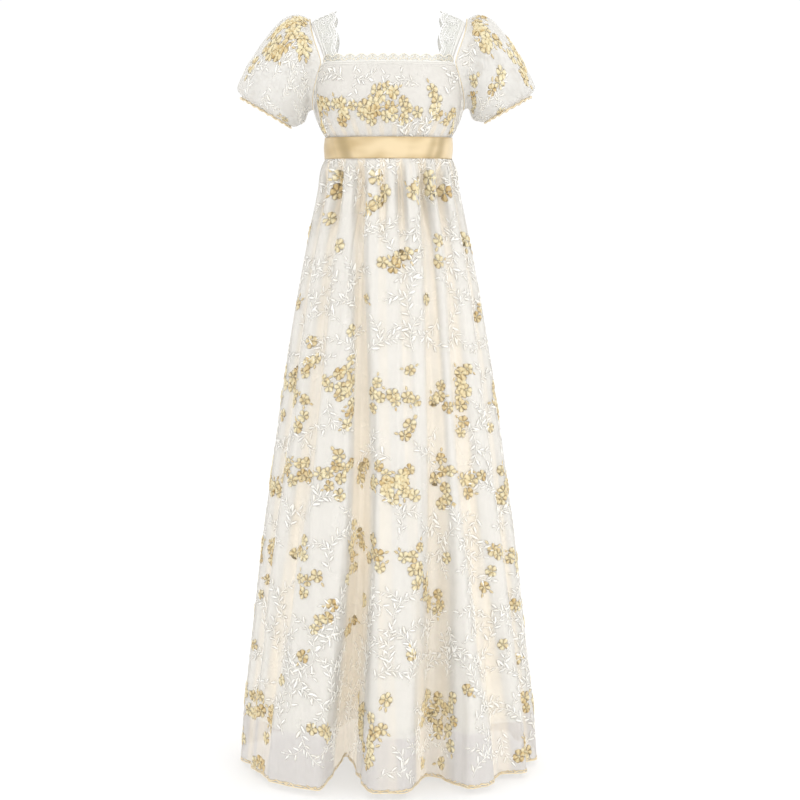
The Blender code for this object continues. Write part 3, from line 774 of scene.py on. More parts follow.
detail = 1.0
cloths = {}
skirtPanels = {
    # folds, from and to which angle, net, columns and rows of net and lining, end of their nodes' names
    "SkirtFront": ("frontFolds", -90, 90, "ivoryNet", (210, 132), (170, 96), "front"),
    "SkirtBack": ("backFolds", 90, 270, "ivoryNetBack", (170, 110), (130, 72), "back"),
}
for label, (folds, start, end, net, netGrid, liningGrid, half) in skirtPanels.items():
    columns, rows = (int(count * detail) for count in netGrid)
    cloths[label] = skirtCloth(skirt[folds], start, end, gown["hem"], rows, columns)
    clothPiece("net" + label, [shellPart(cloths[label], gown["netThickness"])], net, "skirt_" + half)
    columns, rows = (int(count * detail) for count in liningGrid)
    under = insideCloth(skirtCloth(skirt[folds], start, end, gown["liningHem"], rows, columns))
    cloths["Lining" + label] = under
    parts = [shellPart(under, gown["clothThickness"])]
    clothPiece("lining" + label, parts, "plainLining", "skirt_lining_" + half)
print("skirt made")

# Bodice
bodice = {
    "neckline": -0.1110,
    "backNeckline": -0.1180,
    "rim": 0.0045,
    "rimRoll": 0.0016,
    "armholeCentre": -0.1060,
    "armholeHalfHeight": 0.0860,
    "armholeFront": 0.0620,
    "armholeBack": 0.0520,
    "cornerRound": 0.0140,
    "cornerDrop": 0.0080,
    "gathers": 14,
    "gatherDepth": ((0.170, 0.0), (0.205, 0.0015), (0.236, 0.0032), (0.246, 0.0016), (0.264, 0.0010)),
    "liningInset": ((0.145, 0.0016), (0.200, 0.0052)),
    "noInset": ((0.145, 0.0), (0.200, 0.0)),
    # painted shade in the gathers: depth that gives full shade, share in the middle, share added at the sides,
    # start and width of its edge
    "shade": {"fullDepth": 0.0028, "middle": 0.40, "sides": 0.60, "edge": (0.40, 0.45)},
    "bust": -0.15,
    "seamTurn": 0.12,  # degrees left free at each side seam
    "fineGathers": 46,
    "fineDepth": ((0.190, 0.0), (0.225, 0.0009), (0.242, 0.0012), (0.250, 0.0004), (0.264, 0.0002)),
}


def neckHeight(y, front, level):
    reach = bodice["armholeFront"] if front else bodice["armholeBack"]
    past = np.clip((np.abs(y) - reach) / bodice["cornerRound"], 0, 1)
    outside = level - bodice["cornerDrop"] * (1 - past) ** 2
    drop = bodice["armholeHalfHeight"] * np.sqrt(np.clip(1 - (y / reach) ** 2, 0, 1))
    curve = bodice["armholeCentre"] - drop
    return np.where(np.abs(y) >= reach, outside, np.minimum(level - bodice["cornerDrop"], curve))


def bodiceCloth(start, end, level, insets, gathered, rows, columns):
    front = start < 0
    shares = np.linspace(0, 1, columns + 1)
    angle = start + bodice["seamTurn"] + (end - start - 2 * bodice["seamTurn"]) * shares
    probe = bodyPoint(bodiceRows, angle, np.full_like(angle, bodice["bust"]))
    top = neckHeight(probe[1], front, level)
    bottom = gown["waistSeam"] + gown["seamGap"]
    down = np.linspace(0, 1, rows + 1)[:, None]
    z = top[None] * (1 - down) + bottom * down
    turn = 2 * math.pi * shares[None]
    inset = between(-z, insets)
    shade = np.zeros_like(z)
    if gathered:
        depth = between(-z, bodice["gatherDepth"])
        sideways = 0.45 + 0.55 * np.abs(2 * shares[None] - 1)
        wave = 0.5 - 0.5 * np.cos(bodice["gathers"] * turn)
        narrow = 0.5 - 0.5 * np.cos(bodice["fineGathers"] * turn + np.sin(7 * turn))
        inset = inset + depth * sideways * wave + between(-z, bodice["fineDepth"]) * narrow
        # Painted shade in the gathers, stronger towards the side seams
        shadeTint = bodice["shade"]
        across = shadeTint["middle"] + shadeTint["sides"] * sideways
        shade = np.clip(depth / shadeTint["fullDepth"] * across * rising(wave, *shadeTint["edge"]), 0, 1)
    angles = np.broadcast_to(angle[None], z.shape)
    x, y = bodyPoint(bodiceRows, angles, z, inset)
    return clothFrom(np.stack((x, y, z), -1), shade)


bodicePanels = {
    "BodiceFront": (-90, 90, "neckline", 200, 44, "bodice_front", "bodice_lining_front"),
    "BodiceBack": (90, 270, "backNeckline", 160, 40, "bodice_back", "bodice_lining_back"),
}
for label, (start, end, level, columns, rows, node, liningNode) in bodicePanels.items():
    columns, rows = int(columns * detail), int(rows * detail)
    cloths[label] = bodiceCloth(start, end, bodice[level], bodice["noInset"], True, rows, columns)
    clothPiece("net" + label, [shellPart(cloths[label], gown["netThickness"])], "bodiceNet", node)
    under = bodiceCloth(start, end, bodice[level] + bodice["rim"], bodice["liningInset"], False,
                        rows // 2, columns // 2)
    cloths["Lining" + label] = under
    rim = under["points"][0] + under["normals"][0] * 0.0002
    roll = roundCords(rim[None], under["normals"][0][None], bodice["rimRoll"], sides=8)
    parts = [shellPart(under, gown["clothThickness"]), roll]
    clothPiece("lining" + label, parts, "plainLining", liningNode)
print("bodice made")

# Puff sleeves
sleeve = {
    # outer x, outer z, inner x, inner z, half depth, share of the armhole's own line, gather depth in mm
    "rows": [
        (0.1490, -0.0200, 0.1490, -0.1920, 0.0620, 1.00, 0.0),
        (0.1590, -0.0110, 0.1520, -0.2000, 0.0700, 0.55, 1.5),
        (0.1760, -0.0095, 0.1560, -0.2080, 0.0790, 0.15, 1.0),
        (0.2030, -0.0215, 0.1610, -0.2155, 0.0870, 0.00, 0.0),
        (0.2370, -0.0600, 0.1660, -0.2200, 0.0905, 0.00, 0.0),
        (0.2700, -0.1085, 0.1735, -0.2230, 0.0860, 0.00, 1.0),
        (0.2885, -0.1440, 0.1810, -0.2240, 0.0730, 0.00, 3.0),
        (0.2870, -0.1570, 0.1845, -0.2225, 0.0640, 0.00, 2.5),
        (0.2795, -0.1655, 0.1865, -0.2215, 0.0560, 0.00, 1.5),
        (0.2830, -0.1700, 0.1855, -0.2270, 0.0590, 0.00, 3.0),
    ],
    "shoulderX": 0.1490,
    "shoulderBend": 1.2,
    "gathers": 14,
    "sides": {"Left": (1, 0.93, 0.88), "Right": (-1, 1.0, 1.0)},  # side, reach, how far the cuff hangs down
    "slackFrom": -0.15,
    "creases": 0.0026,
    "puckers": 34,
    "puckerDepth": 0.0011,
    "frillWave": 0.0018,
    # by row of the table above, as shares: puckers, large creases, and how much painted shade a gather gets
    "puckered": ((0, 0.2), (1, 1), (3, 0), (6, 0.2), (7.5, 1), (9, 1)),
    "creased": ((0, 0), (1.5, 0.6), (3, 1), (5, 1), (7, 0.4), (9, 0)),
    "shaded": ((0, 1), (2, 0.3), (6, 0.4), (9, 1)),
    "fullDepth": 0.004,
}


def halfWidthAt(y, z):
    halfWidth, front, back = rowsAt(bodiceRows, z)
    depth = np.where(y < 0, front, back)
    share = np.minimum(1, np.abs(y) / depth)
    return halfWidth * (1 - share ** gown["roundness"]) ** (1 / gown["roundness"])


def armholePoint(turn, reach):
    depth = np.where(np.sin(turn) > 0, bodice["armholeFront"], bodice["armholeBack"])
    y = -(depth + reach) * np.sin(turn)
    z = bodice["armholeCentre"] + (bodice["armholeHalfHeight"] + reach) * np.cos(turn)
    edge = halfWidthAt(y, np.minimum(z, bodice["armholeCentre"])) + 2 * gown["seamGap"]
    rise = np.maximum(0, np.cos(turn)) ** sleeve["shoulderBend"]
    return np.stack((edge + (sleeve["shoulderX"] - edge) * rise, y, z), -1)


def sleeveCloth(label, rows, columns):
    side, reach, hang = sleeve["sides"][label]
    table = np.array(sleeve["rows"])
    place = np.linspace(0, len(table) - 1, rows + 1)
    values = [smoothAt(place, np.arange(len(table)), table[:, column])[:, None] for column in range(7)]
    outerX, outerZ, innerX, innerZ, halfDepth, ownLine, gather = values
    ownLine = np.clip(ownLine, 0, 1)
    turn = np.linspace(0, 2 * math.pi, columns + 1)[None]
    wave = np.maximum(gather, 0) / 1000 * (0.5 - 0.5 * np.cos(sleeve["gathers"] * turn))
    puckered = sleeve["puckerDepth"] * between(place, sleeve["puckered"])[:, None]
    wave = wave + puckered * (0.5 - 0.5 * np.cos(sleeve["puckers"] * turn + 1.5 * np.sin(3 * turn)))
    creased = sleeve["creases"] * between(place, sleeve["creased"])[:, None]
    drift = place[:, None] * 0.55 * side
    wave = wave + creased * (0.5 - 0.3 * np.sin(7 * turn + drift * 2.2) - 0.2 * np.sin(12 * turn - drift))
    centreX, centreZ = (outerX + innerX) / 2, (outerZ + innerZ) / 2
    halfX, halfZ = (outerX - innerX) / 2, (outerZ - innerZ) / 2
    length = np.hypot(halfX, halfZ)
    keep = 1 - wave / length
    x = centreX + halfX * keep * np.cos(turn)
    z = centreZ + halfZ * keep * np.cos(turn)
    y = -(halfDepth - wave) * np.sin(turn)
    line = armholePoint(np.broadcast_to(turn, wave.shape), -wave)
    line[..., 0] += (outerX - sleeve["shoulderX"]) * 0.8
    points = np.stack((x, y, z), -1)
    points = points + (line - points) * ownLine[..., None]
    beyond = points[..., 0] - sleeve["shoulderX"]
    points[..., 0] = np.where(beyond > 0, sleeve["shoulderX"] + beyond * reach, points[..., 0])
    slack = sleeve["slackFrom"]
    hung = np.where(points[..., 2] > slack, points[..., 2], slack + (points[..., 2] - slack) * hang)
    settle = np.clip(place, 0, 1)[:, None]
    points[..., 2] = points[..., 2] * (1 - settle) + hung * settle
    frill = np.clip(place - 8, 0, 1)[:, None] * (0.7 * np.sin(21 * turn) + 0.3 * np.sin(34 * turn + 1))
    points[..., 2] += sleeve["frillWave"] * frill
    points[..., 0] *= side
    centre = points.mean(axis=1, keepdims=True)
    # Painted shade in the gathers and creases, by how deep they sink and by row
    shade = np.clip(wave / sleeve["fullDepth"], 0, 1) * between(place, sleeve["shaded"])[:, None]
    return clothFrom(points, shade, wrap=True, outward=centre)


for label in sleeve["sides"]:
    cloth = sleeveCloth(label, int(64 * detail), int(120 * detail))
    cloths["Sleeve" + label] = cloth
    parts = [shellPart(cloth, gown["netThickness"])]
    clothPiece("netSleeve" + label, parts, "sleeveNet", "sleeve_" + label.lower())
print("sleeves made")

# Shoulder bands and the scalloped lace along their neck side
shoulder = {
    "bandThickness": 0.0008,
    "laceThickness": 0.0005,
    "bandInnerX": 0.1180,
    "laceInnerX": 0.0980,
    "slope": 0.40,
    "laceShare": 0.90,
    "tail": 0.010,
    "bandInset": 0.0040 + 2 * 0.0016 + 3 * 0.0003,
    "laceInset": 0.0040 + 0.0016 + 2 * 0.0003,
    "scallop": 0.0060,
    "scallops": 6,
    "laceRows": 120,
}


def depthAt(x, z, front):
    halfWidth, ahead, behind = rowsAt(bodiceRows, np.array(z))
    depth = ahead if front else behind
    share = min(0.995, abs(x) / halfWidth)
    return depth * (1 - share ** gown["roundness"]) ** (1 / gown["roundness"])


def strapPoint(across, turn, inset, innerX):
    level = np.full_like(across, bodice["armholeCentre"])
    front = turn < 0
    angles = []
    for isFront, reach in ((True, bodice["armholeFront"]), (False, bodice["armholeBack"])):
        y = -reach if isFront else reach
        corner = math.atan2(float(halfWidthAt(np.array(y), np.array(bodice["armholeCentre"]))), reach)
        neck = math.atan2(innerX, float(depthAt(innerX, bodice["armholeCentre"], isFront)))
        angles.append(np.degrees(neck + (corner - neck) * across))
    endX, endY = bodyPoint(bodiceRows, np.where(front, angles[0], 180 - angles[1]), level, inset)
    topX = innerX + (sleeve["shoulderX"] - 2 * gown["seamGap"] - innerX) * across
    topZ = -shoulder["slope"] * (topX - shoulder["laceInnerX"]) - inset
    rise = np.cos(np.radians(np.abs(turn)))
    x = endX + (topX - endX) * rise ** sleeve["shoulderBend"]
    return np.stack((x, endY * np.sin(np.radians(np.abs(turn))), level + (topZ - level) * rise), -1)


def bandCloth(side, innerX, share, inset, scallop, rows, columns):
    turn = np.linspace(-90, 90, rows + 1)[:, None] * np.ones((1, columns + 1))
    across = share * np.linspace(0, 1, columns + 1)[None] * np.ones((rows + 1, 1))
    points = strapPoint(across, turn, inset, innerX)
    if scallop:
        beat = np.abs(np.cos(math.pi * shoulder["scallops"] * (turn + 90) / 180))
        fade = 1 - np.linspace(0, 1, columns + 1)[None]
        points[..., 0] += scallop * (1 - beat) * fade
    points[..., 0] *= side
    tail = np.array((0.0, 0.0, shoulder["tail"]))
    points = np.concatenate((points[:1] - tail, points, points[-1:] - tail))
    centre = points * np.array((1.0, 0.0, 0.0)) + np.array((0.0, 0.0, -0.15))
    return clothFrom(points, outward=centre)


for label, (side, _, _) in sleeve["sides"].items():
    cloth = bandCloth(side, shoulder["bandInnerX"], 1.0, shoulder["bandInset"], 0.0, 48, 10)
    parts = [shellPart(cloth, shoulder["bandThickness"])]
    clothPiece("shoulderBand" + label, parts, "plainBand", "strap_" + label.lower())
    cloth = bandCloth(side, shoulder["laceInnerX"], shoulder["laceShare"], shoulder["laceInset"],
                      shoulder["scallop"], shoulder["laceRows"], 16)
    cloths["Lace" + label] = cloth
    parts = [shellPart(cloth, shoulder["laceThickness"])]
    clothPiece("shoulderLace" + label, parts, "laceGround", "strap_lace_" + label.lower())

# Scalloped lace that stands inside the front neckline
neckLace = {"inset": 0.0040, "height": 0.0150, "tail": 0.0100, "scallop": 0.0060, "scallops": 12, "end": 64.5}
columns = neckLace["scallops"] * 16
angle = np.linspace(-neckLace["end"], neckLace["end"], columns + 1)
probe = bodyPoint(bodiceRows, angle, np.full_like(angle, bodice["bust"]))
rimHeight = neckHeight(probe[1], True, bodice["neckline"]) + bodice["rim"]
beat = np.abs(np.sin(math.pi * neckLace["scallops"] * np.linspace(0, 1, columns + 1)))
topHeight = rimHeight + neckLace["height"] - neckLace["scallop"] * (1 - beat)
down = np.linspace(0, 1, 9)[:, None]
z = topHeight[None] * (1 - down) + (rimHeight - neckLace["tail"])[None] * down
level = np.minimum(z, bodice["neckline"] + bodice["rim"])
x, y = bodyPoint(bodiceRows, np.broadcast_to(angle[None], z.shape), level, neckLace["inset"])
cloths["NeckLace"] = clothFrom(np.stack((x, y, z), -1))
parts = [shellPart(cloths["NeckLace"], shoulder["laceThickness"])]
clothPiece("neckLace", parts, "laceGround", "neck_edging")

# Satin ribbon
ribbon = {
    "top": -0.2456,
    "bottom": -0.2850,
    "standOff": 0.1216 - 0.1196,  # from the waist seam of the skirt
    "thickness": 0.0006,
    "edge": 0.0005,
    "waves": 0.0005,
    "bulge": 0.0010,
    "columns": 260,
    "rows": 14,
    "slant": 7.0,
    # creases all round, each a shallow dent with painted shade along it: angle, width in degrees, depth as a
    # share
    "creases": (
        (-58, 4, 0.35), (-46, 9, 0.75), (-36, 4, 0.30), (-12, 8, 0.20), (8, 4, 0.10), (23, 6, 0.25),
        (45, 6, 0.60), (55, 7, 0.75), (104, 9, 0.45), (131, 8, 0.60), (163, 9, 0.40), (-168, 10, 0.45),
        (-133, 9, 0.65), (-101, 8, 0.40),
    ),
    "creaseDepth": 0.0010,
}
angle = np.linspace(-180, 180, ribbon["columns"] + 1)[None]
down = np.linspace(0, 1, ribbon["rows"] + 1)[:, None]
z = ribbon["top"] + (ribbon["bottom"] - ribbon["top"]) * down + 0 * angle
turn = np.radians(angle)
creases = ribbon["waves"] * (np.sin(5 * turn + 4 * down) + 0.6 * np.sin(11 * turn - 6 * down + 1) + 0.8)
creases = creases + ribbon["bulge"] * np.sin(math.pi * down)
# Painted shade along each crease, which also dents the ribbon a little
shade = np.zeros_like(z)
for place, width, depth in ribbon["creases"]:
    gap = (angle + ribbon["slant"] * (down - 0.5) * math.copysign(1, place) - place + 180) % 360 - 180
    shade = np.maximum(shade, depth * np.exp(-(gap / width) ** 2))
creases = creases - ribbon["creaseDepth"] * shade
level = np.full_like(z, gown["waistSeam"])
x, y = bodyPoint(skirtRows, np.broadcast_to(angle, z.shape), level, -ribbon["standOff"] - creases)
cloth = clothFrom(np.stack((x, y, z), -1), shade, wrap=True)
parts = [shellPart(cloth, ribbon["thickness"])]
for row in (0, -1):
    line, normal = cloth["points"][row, :-1], cloth["normals"][row, :-1]
    parts.append(roundCords(line[None], normal[None], ribbon["edge"], sides=5, closed=True))
clothPiece("waistRibbon", parts, "goldSatin", "waist_ribbon")
print("bands, lace and ribbon made")

# Embroidery: gold flowers in groups, cream sprigs between them, all raised stitches that follow the cloth
embroidery = {
    "flowerSize": 0.0124,
    # flowers near the waist are larger: how far down the skirt, how much
    "topGrowth": ((0.000, 1.45), (0.130, 1.36), (0.260, 1.02), (0.900, 1.00), (1.050, 1.08)),
    "flowerSpacing": 0.0168,
    "flowerMargin": 0.014,
    "spiral": (1.05, 2.4, 0.8),  # growth, turn in radians, height for its width
    "backWidth": 0.96,  # groups on the back lie a little closer to its middle
    # shapes of a flower, as shares of its size, with their heights in metres; jitter is in radians
    "petal": {"count": 5, "start": 0.10, "length": (0.74, 0.96), "width": (0.36, 0.50), "height": 0.0011,
              "jitter": (-0.17, 0.17), "tone": (-0.36, 0.36)},
    "stamen": {"start": 0.16, "length": 0.50, "width": 0.085, "height": 0.0019},
    "knot": {"start": -0.15, "length": 0.30, "width": 0.15, "height": 0.0020, "tone": -0.4},
    "flowerLeaf": {"start": 1.02, "length": 0.75, "width": 0.20, "height": 0.0010, "tone": (0.1, 0.5)},
    "fullness": 1.28,  # flowers made for each one of a group below
    "sprigLength": 0.088,
    "branches": (1.0, 0.55),  # length of the stem and of its side branch
    "branchLeaves": (10, 6),
    "branchSteps": 8,
    "sprigClear": 0.026,
    "leafSize": 0.0180,
    "leafWidth": (0.15, 0.20),
    "leafHeight": 0.0011,
    "stemRadius": 0.00070,
    "lift": 0.0001,
    "centreLift": 0.0003,  # of stamens and knots, which lie on the petals
    # groups of gold flowers on the front of the skirt, given in mm: x, z, number of flowers
    "skirtGroups": [
        (-90, -320, 1), (-95, -350, 1), (-110, -395, 1), (-21, -320, 1), (-6, -346, 1), (-22, -371, 1),
        (45, -345, 1), (75, -320, 1), (80, -345, 1), (55, -335, 1), (105, -350, 1), (-38, -382, 1),
        (-95, -445, 1), (145, -435, 1), (95, -440, 1), (20, -470, 2), (95, -480, 1), (-10, -480, 1),
        (-40, -545, 1), (70, -550, 1), (175, -565, 1), (-65, -610, 1), (-145, -625, 1), (-75, -680, 3),
        (-75, -715, 3), (-150, -670, 2), (-180, -695, 2), (-175, -730, 3), (40, -680, 1), (135, -690, 2),
        (135, -730, 2), (-110, -710, 2), (95, -725, 3), (-15, -725, 4), (35, -730, 2), (-160, -765, 1),
        (-170, -790, 1), (-70, -755, 1), (140, -775, 1), (40, -775, 1), (-75, -780, 1), (135, -800, 1),
        (30, -795, 1), (-190, -855, 4), (-160, -875, 3), (-215, -905, 3), (-110, -870, 3), (-80, -855, 3),
        (-50, -860, 2), (-5, -865, 4), (215, -875, 1), (100, -870, 3), (30, -875, 3), (-5, -900, 3),
        (30, -900, 3), (155, -885, 3), (-90, -905, 1), (220, -920, 1), (110, -915, 2), (-65, -985, 4),
        (-30, -1015, 4), (-70, -1045, 3), (-165, -1020, 3), (-150, -1065, 3), (-225, -1025, 2),
        (205, -1030, 2), (195, -1060, 1), (45, -1015, 3), (60, -1060, 3), (240, -1035, 1), (110, -1030, 1),
        (180, -1090, 1), (-245, -1120, 1), (240, -1135, 2), (-45, -1105, 1), (75, -1105, 2), (100, -1120, 2),
        (-105, -1110, 1), (-125, -1140, 2), (-75, -1160, 2), (215, -1200, 1), (45, -1195, 1),
        (-160, -1205, 1), (-200, -1255, 1), (145, -1260, 1), (250, -1310, 2), (-5, -1270, 1),
        (-250, -1310, 4), (-220, -1330, 3), (70, -1310, 4), (115, -1300, 4), (95, -1340, 3), (-50, -1310, 3),
        (-25, -1330, 3), (-45, -1355, 2), (-120, -1330, 2), (-110, -1350, 1), (-230, -1370, 1),
        (260, -1405, 2), (115, -1370, 1), (-35, -1385, 2), (-245, -1425, 2), (65, -1415, 1), (100, -1415, 1),
    ],
    # on the sides, by share of the width from each side seam: share, z, number of flowers
    "sideGroups": [
        (0.030, -420, 1), (0.075, -560, 1), (0.050, -700, 2), (0.022, -735, 2), (0.085, -770, 1),
        (0.030, -880, 3), (0.075, -905, 2), (0.050, -1030, 3), (0.095, -1085, 1), (0.025, -1150, 1),
        (0.065, -1215, 1), (0.030, -1315, 3), (0.080, -1345, 2), (0.050, -1400, 1),
    ],
    "bodiceGroups": [
        (-128, -186, 1), (-127, -207, 2), (-121, -228, 1), (-97, -184, 2), (-81, -204, 2), (-44, -190, 2),
        (-22, -199, 3), (-1, -156, 2), (10, -165, 1), (-16, -175, 1), (10, -204, 2), (-31, -215, 1),
        (34, -194, 2), (90, -182, 2), (92, -204, 1), (110, -215, 1), (120, -202, 1), (119, -230, 1),
    ],
    "sleeveGroups": {
        "Right": [(-192, -33, 2), (-162, -31, 2), (-181, -48, 2), (-211, -70, 2), (-226, -78, 1),
                  (-192, -76, 2), (-160, -59, 2), (-157, -81, 1), (-207, -85, 1), (-258, -111, 1),
                  (-195, -212, 1)],
        "Left": [(167, -28, 2), (183, -46, 2), (168, -46, 1), (186, -65, 2), (239, -83, 2), (252, -113, 2),
                 (209, -146, 2), (162, -183, 2), (160, -143, 1), (211, -198, 1)],
    },
}


def findPlace(cloth, x, z, front):
    facing = cloth["normals"][..., 1] * (-1 if front else 1)
    points = cloth["points"]
    gap = np.hypot(points[..., 0] - x, points[..., 2] - z) + np.where(facing > 0.1, 0.0, 1.0)
    row, column = np.unravel_index(np.argmin(gap), gap.shape)
    return column / (points.shape[1] - 1), cloth["down"][row]


# The flowers of a group lie on a flat spiral
def oneGroup(cloth, share, down, count):
    margin = embroidery["flowerMargin"]
    growth, step, flat = embroidery["spiral"]
    swing = random.uniform(0, 6.28)
    places = []
    for index in range(count if count == 1 else round(count * embroidery["fullness"])):
        reach = embroidery["flowerSpacing"] * math.sqrt(index) * growth
        angle = swing + index * step
        place = down + reach * math.sin(angle) * flat
        place = min(max(place, margin), cloth["down"][-1] - margin)
        places.append((share + reach * math.cos(angle) / float(lengthAt(cloth, place)), place))
    return places


def sidePlaces(cloth):
    places = []
    heights = cloth["points"][:, 0, 2]
    for share, z, count in embroidery["sideGroups"]:
        down = float(np.interp(-z / 1000, -heights, cloth["down"]))
        places += oneGroup(cloth, share, down, count)
        places += oneGroup(cloth, 1.0 - share * 1.25, down + 0.025, count)
    return places


def flowerPlaces(cloth, groupList, mirrored=False):
    places = []
    for x, z, count in groupList:
        x = -x * embroidery["backWidth"] if mirrored else x
        share, down = findPlace(cloth, x / 1000, z / 1000, not mirrored)
        places += oneGroup(cloth, share, down, count)
    return places


# Each shape is share, down, turn, start, length, half width, height, tone
def flowerShape(place, turn, size, look, tone):
    return (*place, turn, size * look["start"], size * look["length"], size * look["width"],
            look["height"], tone)


def goldFlowers(cloth, places):
    petals, stamens, knots, leaves = [], [], [], []
    petal, stamen, knot, leaf = (embroidery[name] for name in ("petal", "stamen", "knot", "flowerLeaf"))
    for place in places:
        size = embroidery["flowerSize"] * random.uniform(0.88, 1.10)
        if cloth["down"][-1] > 1.0:
            size *= float(between(place[1], embroidery["topGrowth"]))
        first = random.uniform(0, 6.28)
        shade = random.choice([-0.05, 0.05, 0.16, 0.42])
        inner = random.choice([-0.6, -0.4, 0.6])
        for index in range(petal["count"]):
            turn = first + index * 2 * math.pi / petal["count"] + random.uniform(*petal["jitter"])
            own = dict(petal, length=random.uniform(*petal["length"]), width=random.uniform(*petal["width"]))
            petals.append(flowerShape(place, turn, size, own, shade + random.uniform(*petal["tone"])))
            stamens.append(flowerShape(place, turn, size, stamen, inner))
        knots.append(flowerShape(place, first, size, knot, knot["tone"]))
        for index in range(random.integers(0, 3)):
            turn = first + random.uniform(0, 6.28)
            leaves.append(flowerShape(place, turn, size, leaf, random.uniform(*leaf["tone"])))
    lift, centreLift = embroidery["lift"], embroidery["centreLift"]
    parts = [stitchedShapes(cloth, "petal", petals, lift),
             stitchedShapes(cloth, "leaf", stamens, centreLift),
             stitchedShapes(cloth, "knot", knots, centreLift)]
    if leaves:
        parts.append(stitchedShapes(cloth, "leaf", leaves, lift))
    return parts


def spreadPlaces(cloth, acrossStep, downStep, avoid, clear):
    avoid = np.array(avoid).reshape(-1, 2)
    places = []
    down = downStep * 0.45
    while down < cloth["down"][-1] - 0.018:
        length = float(lengthAt(cloth, down))
        count = max(1, int(round(length / acrossStep)))
        offset = random.uniform(0.2, 0.8)
        for index in range(count):
            share = (index + offset + random.uniform(-0.28, 0.28)) / count
            place = down + downStep * random.uniform(-0.30, 0.30)
            gap = np.hypot((avoid[:, 0] - share) * length, avoid[:, 1] - place)
            if not len(gap) or gap.min() > clear:
                places.append((share, place))
        down += downStep
    return places


def creamSprigs(cloth, places, scale=1.0):
    leaves = []
    stems = []
    steps = embroidery["branchSteps"]
    for share, down in places:
        for branch in range(2):
            length = embroidery["sprigLength"] * scale * random.uniform(0.75, 1.1)
            length *= embroidery["branches"][branch]
            if branch == 0:
                heading = -math.pi / 2 + random.uniform(-0.9, 0.9)
                heading += math.pi if random.uniform() < 0.25 else 0.0
                curl = random.choice([-1, 1]) * random.uniform(0.8, 1.9)
                start = -0.45 * length * np.array((math.cos(heading), math.sin(heading)))
            else:
                start = path[steps // 2]
                heading = heading + curl * 0.4 - math.copysign(0.75, curl)
                curl = -curl
            step = length / steps
            path = [start]
            headings = [heading]
            for index in range(steps):
                headings.append(heading + curl * (index + 1) / steps)
                path.append(path[-1] + step * np.array((math.cos(headings[-1]), math.sin(headings[-1]))))
            stems.append((share, down, np.array(path)))
            count = embroidery["branchLeaves"][branch]
            for index in range(count):
                t = 0.10 + 0.90 * index / (count - 1)
                spot = min(steps - 1, int(t * steps))
                point = path[spot] + (path[spot + 1] - path[spot]) * (t * steps - spot)
                side = 0 if index == count - 1 else (1 if index % 2 else -1)
                turn = headings[spot + 1] + side * random.uniform(0.6, 1.0)
                size = embroidery["leafSize"] * scale * random.uniform(0.75, 1.1) * (1.0 - 0.25 * t)
                place = down + point[1]
                leafShare = share + point[0] / float(lengthAt(cloth, np.clip(place, 0, cloth["down"][-1])))
                width = size * random.uniform(*embroidery["leafWidth"])
                leaves.append((leafShare, place, turn, 0.0006, size, width, embroidery["leafHeight"],
                               random.uniform(-0.35, 0.15)))
    share, down, paths = (np.array(values) for values in zip(*stems))
    share, down = share[:, None], down[:, None]
    placeDown = down + paths[..., 1]
    placeShare = share + paths[..., 0] / lengthAt(cloth, placeDown)
    keep = whollyOn(cloth, placeShare, placeDown, 0.001)
    radius = embroidery["stemRadius"]
    height = np.full(placeShare[keep].shape, radius * 0.6)
    point, normal, fold = onCloth(cloth, placeShare[keep], placeDown[keep], height)
    return [stitchedShapes(cloth, "leaf", leaves, embroidery["lift"]),
            roundCords(point, normal, radius, sides=4, tone=0.05, fold=fold)]


embroidered = {
    # cloth: flower groups, mirrored, distance between sprigs across and down, their scale
    "SkirtFront": (embroidery["skirtGroups"], False, 0.061, 0.068, 1.0),
    "SkirtBack": (embroidery["skirtGroups"], True, 0.074, 0.084, 1.0),
    "BodiceFront": (embroidery["bodiceGroups"], False, 0.052, 0.046, 0.92),
    "BodiceBack": (embroidery["bodiceGroups"], True, 0.060, 0.054, 0.92),
    "SleeveRight": (embroidery["sleeveGroups"]["Right"], False, 0.055, 0.048, 0.88),
    "SleeveLeft": (embroidery["sleeveGroups"]["Left"], False, 0.055, 0.048, 0.88),
}
trims = {}  # stitched pieces, by the sheet that carries them
for label, (groupList, mirrored, acrossStep, downStep, scale) in embroidered.items():
    cloth = cloths[label]
    places = flowerPlaces(cloth, groupList, mirrored)
    if label.startswith("Sleeve"):
        places += [(1.0 - share + random.uniform(-0.05, 0.05), down + random.uniform(-0.012, 0.012))
                   for share, down in places]
    if label.startswith("Skirt"):
        places += sidePlaces(cloth)
    gold = meshPiece("goldFlowers" + label, goldFlowers(cloth, places), "goldSilk")
    sprigs = spreadPlaces(cloth, acrossStep, downStep, places, embroidery["sprigClear"])
    cream = meshPiece("creamSprigs" + label, creamSprigs(cloth, sprigs, scale), "creamSilk")
    trims["net" + label] = [gold, cream]
print("embroidery made")

# Raised cords on the lace, and the threads of seams and hems
laceWork = {
    "cord": 0.00070,
    "lines": ((0.02, 0.00100), (0.13, 0.00070), (0.97, 0.00070)),  # share of the width, radius
    "vines": ((0.80, 0.05), (0.24, -0.05)),  # share of the width, swing
    "vineLength": 0.0065,
    "petals": 6,
    "petalLength": 0.0090,
    "petalWidth": 0.0028,
    "neckLines": ((0.0006, 0.00090), (0.0090, 0.00060)),  # how far down, radius
    "neckLoop": 0.00062,
}


def clothCords(cloth, shares, downs, radius, sides=5, closed=False):
    shares, downs = np.atleast_2d(shares), np.atleast_2d(downs)
    point, normal, fold = onCloth(cloth, shares, downs, np.full(shares.shape, radius * 0.7))
    return roundCords(point, normal, radius, sides=sides, closed=closed, fold=fold)


